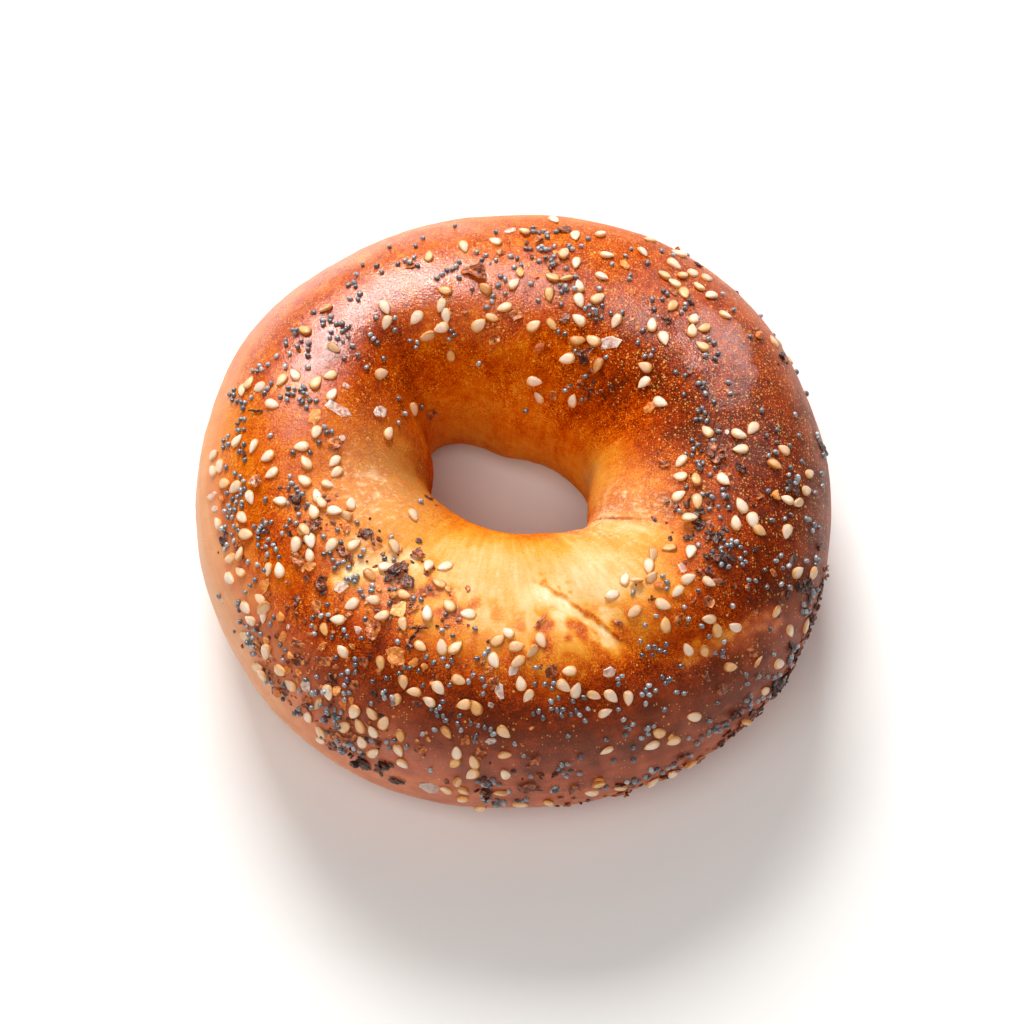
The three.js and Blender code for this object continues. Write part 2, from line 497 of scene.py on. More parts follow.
# How glossy the crown is, in directions round the ring.
CROWN_GLOSS = {
    0: 0.9, 45: 1.0, 60: 0.25, 85: 0.6, 105: 1.0, 150: 1.0,
    163: 0.8, 173: 0.3, 184: 0.12, 220: 0.12, 335: 0.15, 360: 0.9,
}

# Directions and reaches round the ring, where the gloss spreads wider or is weaker.
GLOSS_BEHIND = (104.0, 52.0)
GLOSS_LEFT = (158.0, 34.0)
DULL_RIGHT = (18.0, 36.0)

SIDE_SHEEN = {
    0: 0.55, 40: 0.55, 62: 0.15, 120: 0.15, 170: 0.35,
    200: 0.8, 250: 0.8, 300: 0.40, 330: 0.4, 360: 0.55,
}

# How thickly tiny golden blisters stand on the crown.
CROWN_FLECKS = {
    0: 0.85, 60: 0.8, 90: 0.55, 120: 0.35, 150: 0.25,
    180: 0.1, 240: 0.06, 300: 0.08, 330: 0.25, 360: 0.85,
}


def round_the_ring(levels):
    """Levels given by direction, one for every grid row, as a column."""
    return np.interp(RINGS, list(levels), list(levels.values()))[:, None]


def toward(direction, reach):
    """1 at a direction round the ring, fading out over the reach."""
    return bell(turn_between(RING_ANGLE, direction), reach)


def patch_distance(middle, reach):
    """Distance from the middle of a patch, as a share of its reach."""
    run = turn_between(RING_ANGLE, middle[0]) / reach[0]
    rise = (ACROSS - middle[1]) / reach[1]
    return np.hypot(run, rise)


def patch_levels(patches):
    """Levels that fade out round the middles of the patches."""
    levels = np.zeros(RING_ANGLE.shape)
    for middle, reach, strength in patches:
        levels = np.maximum(levels, strength * bell(patch_distance(middle, reach), 1.0))
    return levels


def shifted(grid, rows, columns):
    """The grid read at places moved by fractions of a step."""
    height, width = grid.shape
    row = np.arange(height)[:, None] + rows
    column = np.arange(width)[None, :] + columns
    low_row, low_column = np.floor(row).astype(int), np.floor(column).astype(int)
    part_row, part_column = row - low_row, column - low_column
    value = np.zeros(grid.shape)
    for step_row, share_row in ((0, 1.0 - part_row), (1, part_row)):
        for step_column, share_column in ((0, 1.0 - part_column), (1, part_column)):
            near = grid[(low_row + step_row) % height, (low_column + step_column) % width]
            value += share_row * share_column * near
    return value


def painted_browning():
    """The browning table spread smoothly over the grid."""
    columns = np.array([np.interp(ACROSS[0], BROWNING_SECTIONS, row) for row in BROWNING.values()])
    turns = np.append(list(BROWNING), TURN)
    columns = np.vstack([columns, columns[:1]])
    bake = np.array([np.interp(RINGS, turns, column) for column in columns.T]).T
    return blur(bake, BROWNING_BLUR)


def uneven_browning(bake, points):
    """Lets the browning's edges lick in and out like flames, and adds stains and blotches."""
    flames = layered_noise(STRANDS, (1.0, (6.0, 6.0, 16.0), 3.3), (0.6, (2.6, 2.6, 9.0), 5.8))
    patches = layered_noise(points, (1.0, 4.5, 2.4), (0.7, 1.8, 6.6))
    inner = 1.0 - smooth(ACROSS, 110.0, 150.0)
    runs = RUN_SHIFT * noise_field(points, 5.0, 1.2)
    bake = shifted(bake, runs, FLAME_SHIFT * inner * flames + PATCH_SHIFT * patches)
    stains = layered_noise(points, (0.08, 6.0, 4.2), (0.08, 3.4, 5.2), (0.05, 1.8, 7.2))
    stains *= 0.3 + 0.7 * smooth(bake, 0.2, 0.55)
    bake += 0.06 * noise_field(points, 16.0, 9.3) + stains
    for middle, reach in BLOTCHES:
        near = bell(patch_distance(middle, reach), 1.0)
        bake += BLOTCH_BROWNING * near * smooth(noise_field(points, 2.6, 6.2), -0.2, 0.15)
    return bake


def torn_browning(bake, points):
    """Pale open dough below the tear, a browned lip, and browned bits beyond it."""
    signed, along = across_line(points, **TEAR)
    ragged = signed + layered_noise(points, (1.3, 0.8, 4.9), (1.4, 2.4, 1.4))
    open_dough = smooth(ragged, -4.4, -1.4) * (1.0 - smooth(signed, -0.4, 0.2)) * faded_ends(along)
    edge = bell(signed - 0.1, 0.32) * smooth(noise_field(points, 1.6, 3.7), -0.35, 0.25)
    bits = bell(signed - 1.2, 1.6) * smooth(noise_field(points, 1.1, 9.9), 0.15, 0.4) * (1.0 - along)
    bake = bake * (1.0 - OPEN_DOUGH_PALE * open_dough)
    return bake + (TORN_EDGE * edge + TORN_BITS * bits) * faded_ends(along, 0.15, 0.85)


def folded_browning(bake, points):
    """Pale folds, and a thin dark crack with browned skin beside it at the seam."""
    for fold, pale, reach in FOLD_PALE:
        signed, along = across_line(points, **fold)
        fades = faded_ends(along, 0.2, 0.85) * (0.8 + 0.6 * noise_field(points, 1.5, 2.2))
        bake = bake - pale * bell(signed - 0.6, reach) * fades
    # Painted shade along the seam's crack.
    signed, along = across_line(points, **SEAM_CRACK)
    bake = bake + CRACK_DARKENING * bell(signed, 0.23) * faded_ends(along, 0.05, 0.15)
    signed, along = across_line(points, **SEAM)
    beside = SEAM_BROWN * bell(signed - 2.5, 2.5) - SEAM_PALE * bell(signed + 2.0, 2.2)
    return bake + beside * faded_ends(along, 0.1, 0.8)


def browning(points):
    """How brown the crust is, from 0 (pale dough) to 1 (dark)."""
    bake = uneven_browning(painted_browning(), points)
    bake = folded_browning(torn_browning(bake, points), points)
    return np.clip(bake, 0.0, 1.0)


def gloss(points):
    """How glossy the crust is: the crown most, the hole's slopes less, the sides least."""
    behind = toward(*GLOSS_BEHIND)
    left = toward(*GLOSS_LEFT)
    slope = 0.04 + 0.96 * smooth(ACROSS, 84.0 - 34.0 * behind, 108.0 - 34.0 * behind)
    side = 1.0 - 0.92 * smooth(ACROSS, 116.0 + 14.0 * left, 152.0 + 8.0 * left)
    patchy = 1.0 + layered_noise(points, (0.25, 9.0, 5.1), (0.25, 3.0, 8.8))
    shiny = np.zeros(RING_ANGLE.shape)
    for middle, reach in SHINY_RIGHT:
        inside = 1.15 - patch_distance(middle, reach) + 0.35 * noise_field(points, 3.0, 6.9)
        shiny = np.maximum(shiny, smooth(inside, 0.0, 0.25))
    dull = 1.0 - 0.80 * toward(*DULL_RIGHT) * (1.0 - shiny)
    return np.clip(round_the_ring(CROWN_GLOSS) * slope * side * patchy * dull, 0.0, 1.0)


def sheen(gloss_levels):
    """Strength of the bare skin's reflection, which the slopes that face the hole hardly have."""
    return 0.16 * gloss_levels + round_the_ring(SIDE_SHEEN) * smooth(ACROSS, 135.0, 165.0)


def flecks(points):
    """How thickly the tiny golden blisters stand."""
    crown = 0.10 + 0.90 * smooth(ACROSS, 45.0, 90.0)
    side = 1.0 - 0.85 * smooth(ACROSS, 145.0, 190.0)
    patchy = 1.0 + layered_noise(points, (0.5, 7.0, 1.6), (0.3, 2.5, 2.9))
    return np.clip(round_the_ring(CROWN_FLECKS) * crown * side * patchy, 0.0, 1.0)


# --- the crust piece ----------------------------------------------------------------------


def grid_mesh(name, points):
    """A closed mesh of quads from a grid that wraps round both ways, with a plain UV layout."""
    rings, steps = points.shape[:2]
    mesh = bpy.data.meshes.new(name)
    mesh.from_pydata((points.reshape(-1, 3) * MM).tolist(), [], grid_quads(rings, steps))
    mesh.polygons.foreach_set("use_smooth", np.ones(rings * steps, bool))
    ring, step = np.meshgrid(np.arange(rings), np.arange(steps), indexing="ij")
    corners = [(ring, step), (ring, step + 1), (ring + 1, step + 1), (ring + 1, step)]
    layout = np.stack([np.stack([r / rings, s / steps], -1) for r, s in corners], 2)
    mesh.uv_layers.new(name="OFBake").data.foreach_set("uv", layout.ravel())
    return mesh


def add_values(mesh, name, values):
    """Stores one number for each of the mesh's points."""
    layer = mesh.attributes.new(name, "FLOAT", "POINT")
    layer.data.foreach_set("value", np.asarray(values, np.float32).ravel())


def add_object(name, mesh):
    piece = bpy.data.objects.new(name, mesh)
    bpy.context.scene.collection.objects.link(piece)
    return piece


def make_crust():
    """The crust as an object, and its points as a grid in millimetres."""
    points = GRID + relief(GRID)[..., None] * grid_normals(GRID)
    points[..., 2] = np.maximum(points[..., 2], 0.0)
    mesh = grid_mesh("crust", points)
    gloss_levels = gloss(GRID)
    levels = {
        "bake": browning(GRID),
        "gloss": gloss_levels,
        "sheen": sheen(gloss_levels),
        "flecks": flecks(GRID),
        "dust_and_highlight": patch_levels(DUST_AND_HIGHLIGHT_PATCHES),
        "tan": patch_levels(TAN_AND_SHADE_PATCHES),
    }
    for name, values in levels.items():
        add_values(mesh, name, values)
    lanes = mesh.attributes.new("strand", "FLOAT_VECTOR", "POINT")
    lanes.data.foreach_set("vector", STRANDS.astype(np.float32).ravel())
    return add_object("crust", mesh), points


# --- materials ----------------------------------------------------------------------------


def colour(red, green, blue):
    """Shader colour from the usual 0 to 255 screen values."""
    share = np.array([red, green, blue]) / 255.0
    linear = np.where(share <= 0.04045, share / 12.92, ((share + 0.055) / 1.055) ** 2.4)
    return (*linear.tolist(), 1.0)


def node(tree, kind, inputs=None, **settings):
    """Adds a shader node, then sets its properties, links and plain input values."""
    made = tree.nodes.new("ShaderNode" + kind)
    for name, value in settings.items():
        setattr(made, name, value)
    for name, value in (inputs or {}).items():
        if isinstance(value, bpy.types.NodeSocket):
            tree.links.new(value, made.inputs[name])
        else:
            made.inputs[name].default_value = value
    return made


def new_material(name):
    """A material with its node tree, its shader node and its output."""
    material = bpy.data.materials.new(name)
    material.use_nodes = True
    tree = material.node_tree
    return material, tree, tree.nodes["Principled BSDF"]


def ramp(tree, value, stops):
    """Colour ramp through (place, colour) stops; returns its colour."""
    made = node(tree, "ValToRGB", {"Fac": value})
    elements = made.color_ramp.elements
    while len(elements) < len(stops):
        elements.new(0.5)
    for element, (place, shade) in zip(elements, stops):
        element.position = place
        element.color = shade
    return made.outputs["Color"]


def rescale(tree, value, low, high, new_low, new_high, kind="SMOOTHSTEP"):
    """A value carried over from one range to another and held inside it."""
    inputs = {"Value": value, "From Min": low, "From Max": high, "To Min": new_low, "To Max": new_high}
    return node(tree, "MapRange", inputs, interpolation_type=kind).outputs["Result"]


def total(tree, *values):
    result = values[0]
    for value in values[1:]:
        result = node(tree, "Math", {0: result, 1: value}, operation="ADD").outputs[0]
    return result


def product(tree, first, second):
    return node(tree, "Math", {0: first, 1: second}, operation="MULTIPLY").outputs[0]


def tint(tree, amount, under, over, kind="MIX"):
    """Mixes two colours; returns the colour."""
    inputs = {"Factor": amount, 6: under, 7: over}
    return node(tree, "Mix", inputs, data_type="RGBA", blend_type=kind).outputs[2]


def mottle(tree, place, size, detail=2.0, low=-1.0, high=1.0):
    """Noise with features `size` millimetres across, stretched to run from low to high."""
    inputs = {"Vector": place, "Scale": 1.0 / (size * MM), "Detail": detail}
    value = node(tree, "TexNoise", inputs).outputs["Fac"]
    return rescale(tree, value, 0.25, 0.75, low, high, "LINEAR")


def object_place(tree):
    """The place on the piece, in metres, which procedural textures are laid out by."""
    return node(tree, "TexCoord").outputs["Object"]


def attribute(tree, name, output="Fac"):
    return node(tree, "Attribute", attribute_name=name).outputs[output]


def lanes_noise(tree, along_ring, across_ring, low, high):
    """Noise drawn out into lanes: its size along the ring and across the section, in mm."""
    strand = attribute(tree, "strand", "Vector")
    scale = (1.0 / along_ring, 1.0 / along_ring, 1.0 / across_ring)
    place = node(tree, "VectorMath", {0: strand, 1: scale}, operation="MULTIPLY").outputs["Vector"]
    shape = node(tree, "TexNoise", {"Vector": place, "Scale": 1.0, "Detail": 2.0})
    return rescale(tree, shape.outputs["Fac"], 0.3, 0.7, low, high, "LINEAR")


def blister_dots(tree, place, size, radius, density):
    """Round dots in cells of a size; the density decides how many of the cells hold one."""
    inputs = {"Vector": place, "Scale": 1.0 / (size * MM), "Randomness": 1.0}
    cells = node(tree, "TexVoronoi", inputs)
    chance = node(tree, "SeparateColor", {"Color": cells.outputs["Color"]}).outputs["Red"]
    held = node(tree, "Math", {0: chance, 1: density}, operation="LESS_THAN").outputs["Value"]
    strength = rescale(tree, chance, 0.0, 0.8, 1.0, 0.45, "LINEAR")
    dot = rescale(tree, cells.outputs["Distance"], radius, 0.3 * radius, 0.0, 1.0)
    return product(tree, product(tree, dot, strength), held)


CRUST_STOPS = (
    (0.00, colour(255, 230, 200)),
    (0.15, colour(242, 196, 136)),
    (0.30, colour(230, 152, 42)),
    (0.45, colour(214, 108, 4)),
    (0.60, colour(190, 72, 0)),
    (0.75, colour(156, 50, 0)),
    (0.90, colour(116, 37, 5)),
    (1.00, colour(84, 28, 8)),
)
# Painted shade on the hole's left slope, and tan skin beside the seam.
TAN_AND_SHADE = colour(180, 120, 50)
# Pale dust, also used for painted highlight on the hole's slopes.
DUST_AND_HIGHLIGHT_TINT = colour(246, 206, 160)
# Painted sheen on the sides.
SIDE_PAINTED_SHEEN = colour(236, 164, 128)
SPECK_GOLD = colour(250, 184, 98)

SIDE_LANES = (45.0, 56.0)  # millimetres across the section, where the sides begin
COAT_ROUGHNESS = 0.18
SKIN_BUMP = 0.07  # millimetres
GLAZE_BUMP = 0.06


def browned_skin(tree, place, bake, side):
    """Colour of the browned skin: pale skin and the sides are smooth, and the rest is grainy."""
    dust_and_highlight = attribute(tree, "dust_and_highlight")
    calm_side = rescale(tree, side, 0.0, 1.0, 1.0, 0.35)
    grainy = product(tree, rescale(tree, bake, 0.25, 0.70, 0.15, 1.0), calm_side)
    patches = product(tree, mottle(tree, place, 1.6, 2.0, -0.10, 0.10), grainy)
    uneven = product(tree, mottle(tree, place, 5.0, 2.0, 0.35, 1.35), grainy)
    coarse = mottle(tree, place, 0.45, 2.0, -0.20, 0.20)
    fine = mottle(tree, place, 0.22, 1.0, -0.26, 0.26)
    grain = product(tree, total(tree, coarse, fine), uneven)
    pleated = rescale(tree, dust_and_highlight, 0.0, 1.0, 0.02, 0.06)
    pleat_lanes = product(tree, lanes_noise(tree, 2.2, 6.0, -1.0, 1.0), pleated)
    side_lanes = product(tree, lanes_noise(tree, 22.0, 1.3, -0.06, 0.06), side)
    brown = total(tree, bake, patches, grain, pleat_lanes, side_lanes)
    # Painted shade: the hole's left slope turns dull tan; beside the seam the tan is the skin's own.
    tan_and_shade_amount = product(tree, attribute(tree, "tan"), mottle(tree, place, 3.5, 3.0, 0.45, 1.15))
    return tint(tree, tan_and_shade_amount, ramp(tree, brown, CRUST_STOPS), TAN_AND_SHADE)


def dust_and_highlight_amount(tree, place):
    """How dusty the dry skin is, with pale streaks and fine crackles; on the hole's slopes the paleness is
    partly painted highlight.
    """
    dust_and_highlight = attribute(tree, "dust_and_highlight")
    lanes = lanes_noise(tree, 1.3, 4.0, -0.35, 0.4)
    streak = total(tree, lanes, mottle(tree, place, 3.0, 4.0, -0.9, 1.1))
    streak = rescale(tree, product(tree, streak, dust_and_highlight), 0.1, 0.8, 0.0, 0.45)
    crackle = rescale(tree, mottle(tree, place, 0.8, 3.0, 0.0, 1.0), 0.55, 0.85, 0.0, 0.55)
    return total(tree, streak, product(tree, dust_and_highlight, 0.25), product(tree, crackle, dust_and_highlight))


def golden_specks(tree, place):
    """Dots where tiny blisters have lifted off the skin."""
    crowd = total(tree, attribute(tree, "flecks"), mottle(tree, place, 2.2, 2.0, -0.25, 0.25))
    small = blister_dots(tree, place, 0.46, 0.40, crowd)
    large = blister_dots(tree, place, 0.95, 0.34, product(tree, crowd, 0.45))
    return node(tree, "Math", {0: small, 1: large}, operation="MAXIMUM").outputs["Value"]


def link_bump(tree, height, strength, depth, socket):
    """Links a bump, `depth` millimetres deep, to one of the shader's normals."""
    bump = node(tree, "Bump", {"Height": height, "Strength": strength, "Distance": depth * MM})
    tree.links.new(bump.outputs["Normal"], socket)


def crust_material():
    material, tree, shader = new_material("crust")
    place = object_place(tree)
    bake = attribute(tree, "bake")
    lane = node(tree, "SeparateXYZ", {"Vector": attribute(tree, "strand", "Vector")}).outputs["Z"]
    side = rescale(tree, lane, *SIDE_LANES, 0.0, 1.0)
    # Pale dust over the browned skin, partly painted highlight on the hole's slopes.
    base = tint(tree, dust_and_highlight_amount(tree, place), browned_skin(tree, place, bake, side), DUST_AND_HIGHLIGHT_TINT)

    # Painted sheen: the sides are tinted pale pink, most where the skin is pale, for the white surroundings
    # mirrored at a grazing angle.
    pale = rescale(tree, bake, 0.1, 0.9, 0.72, 0.08, "LINEAR")
    base = tint(tree, product(tree, side, pale), base, SIDE_PAINTED_SHEEN)

    # The specks show where the skin is browned.
    dots = golden_specks(tree, place)
    browned = rescale(tree, bake, 0.30, 0.7, 0.2, 0.85)
    base = tint(tree, product(tree, dots, browned), base, SPECK_GOLD)
    tree.links.new(base, shader.inputs["Base Color"])

    # The crown is glazed, and the hole's slopes and the sides are duller.
    gloss_level = attribute(tree, "gloss")
    roughness = rescale(tree, gloss_level, 0.0, 1.0, 0.60, 0.40)
    tree.links.new(roughness, shader.inputs["Roughness"])
    tree.links.new(attribute(tree, "sheen"), shader.inputs["Specular IOR Level"])
    tree.links.new(gloss_level, shader.inputs["Coat Weight"])
    shader.inputs["Coat Roughness"].default_value = COAT_ROUGHNESS

    skin = total(tree, mottle(tree, place, 0.40, 3.0, 0.0, 1.0), product(tree, dots, 0.6))
    link_bump(tree, skin, 0.7, SKIN_BUMP, shader.inputs["Normal"])
    link_bump(tree, skin, 1.0, GLAZE_BUMP, shader.inputs["Coat Normal"])
    return material


crust, SKIN = make_crust()
crust.data.materials.append(crust_material())
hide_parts("bagel")
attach(crust, "root")

# --- where the toppings lie ---------------------------------------------------------------

# Places read off the photo, in pixels of its 1024-pixel frame.  Each is carried along the
# camera's line of sight onto the crust.

BAGEL_MIDDLE_PIXEL = (513, 500)
RING_MIDDLE_PIXELS = 200  # from the bagel's middle to the middle of the ring

SESAME_FLAT = {
    "upper left": (
        (305, 331), (429, 257), (464, 248), (495, 242), (485, 289), (385, 308), (386, 323),
        (416, 318), (441, 306), (446, 316), (441, 328), (479, 325), (492, 318), (504, 308),
        (514, 284), (451, 355), (381, 374), (330, 376), (316, 383), (332, 395), (295, 375),
        (282, 381), (250, 383), (243, 391), (260, 388), (273, 405), (388, 433), (316, 433),
        (254, 447), (238, 441), (301, 447), (268, 457), (306, 463), (272, 474), (215, 455),
        (221, 467), (214, 471), (226, 484), (236, 488), (251, 498), (304, 481), (334, 462),
        (336, 473), (328, 485), (280, 501), (317, 496), (321, 504), (314, 513), (335, 512),
        (351, 504), (243, 518), (219, 523), (413, 516), (248, 535), (306, 532),
    ),
    "upper right": (
        (554, 221), (524, 233), (575, 237), (601, 235), (649, 241), (643, 253), (607, 256),
        (680, 252), (564, 255), (576, 264), (552, 278), (602, 277), (579, 287), (549, 295),
        (579, 301), (598, 299), (534, 326), (579, 320), (616, 322), (578, 341), (593, 341),
        (567, 359), (598, 366), (535, 381), (539, 397), (573, 400), (652, 325), (664, 339),
        (645, 367), (644, 383), (661, 403), (674, 265), (664, 276), (683, 276), (693, 274),
        (707, 279), (674, 284), (698, 287), (710, 296), (684, 294), (672, 307), (694, 319),
        (725, 316), (692, 331), (704, 329), (702, 347), (773, 342), (707, 432), (739, 435),
        (752, 429), (740, 450), (783, 450), (681, 462), (680, 477), (696, 481), (723, 481),
        (679, 496), (697, 505), (741, 506), (809, 474), (806, 491), (786, 500), (797, 503),
        (690, 520), (735, 524), (752, 521), (759, 531), (786, 532),
    ),
    "lower right": (
        (690, 554), (649, 567), (688, 579), (708, 583), (677, 592), (663, 605), (634, 612),
        (665, 625), (708, 619), (716, 630), (734, 627), (687, 649), (704, 651), (730, 667),
        (778, 663), (775, 612), (789, 631), (805, 625), (810, 574), (797, 572), (764, 690),
        (569, 671), (564, 686), (576, 690), (594, 695), (611, 696), (628, 698), (605, 712),
        (693, 716), (658, 732), (651, 745), (606, 750), (504, 732), (505, 754), (505, 773),
        (528, 696), (521, 683), (518, 662), (541, 641), (508, 633), (517, 647), (652, 780),
        (620, 787), (591, 792), (671, 771), (689, 760), (549, 801), (521, 803), (598, 780),
        (671, 738),
    ),
    "lower left": (
        (242, 554), (231, 559), (241, 572), (231, 579), (297, 546), (311, 542), (310, 555),
        (331, 546), (354, 545), (269, 570), (280, 570), (394, 548), (370, 576), (386, 569),
        (439, 584), (261, 599), (247, 608), (265, 616), (251, 620), (352, 605), (373, 601),
        (404, 596), (427, 614), (449, 606), (382, 617), (403, 625), (338, 620), (246, 636),
        (343, 651), (442, 647), (456, 648), (421, 647), (381, 663), (494, 661), (498, 641),
        (261, 666), (266, 672), (284, 669), (292, 684), (404, 682), (414, 691), (439, 688),
        (459, 680), (429, 701), (396, 700), (464, 704), (330, 691), (310, 715), (356, 710),
        (372, 713), (385, 721), (346, 725), (360, 725), (374, 730), (322, 730), (363, 740),
        (401, 735), (399, 750), (374, 752), (403, 763), (447, 732), (457, 751), (455, 762),
        (474, 761), (472, 773), (464, 790), (446, 789), (462, 798), (500, 792), (481, 807),
    ),
}

SESAME_ON_EDGE = (
    (326, 310), (427, 336), (334, 349), (412, 410), (346, 516), (566, 279), (653, 556),
    (652, 578), (636, 582), (757, 661), (743, 719), (532, 652), (268, 609), (319, 703),
    (458, 781),
)

SESAME_GOLDEN = (
    (552, 325), (774, 465), (669, 549), (325, 630), (476, 707), (445, 291),
)

# Seeds that the dough has risen around, so that only their tops show.
SESAME_SUNK = (
    (625, 579), (612, 595), (428, 568), (445, 567), (468, 614), (321, 740), (269, 651),
)

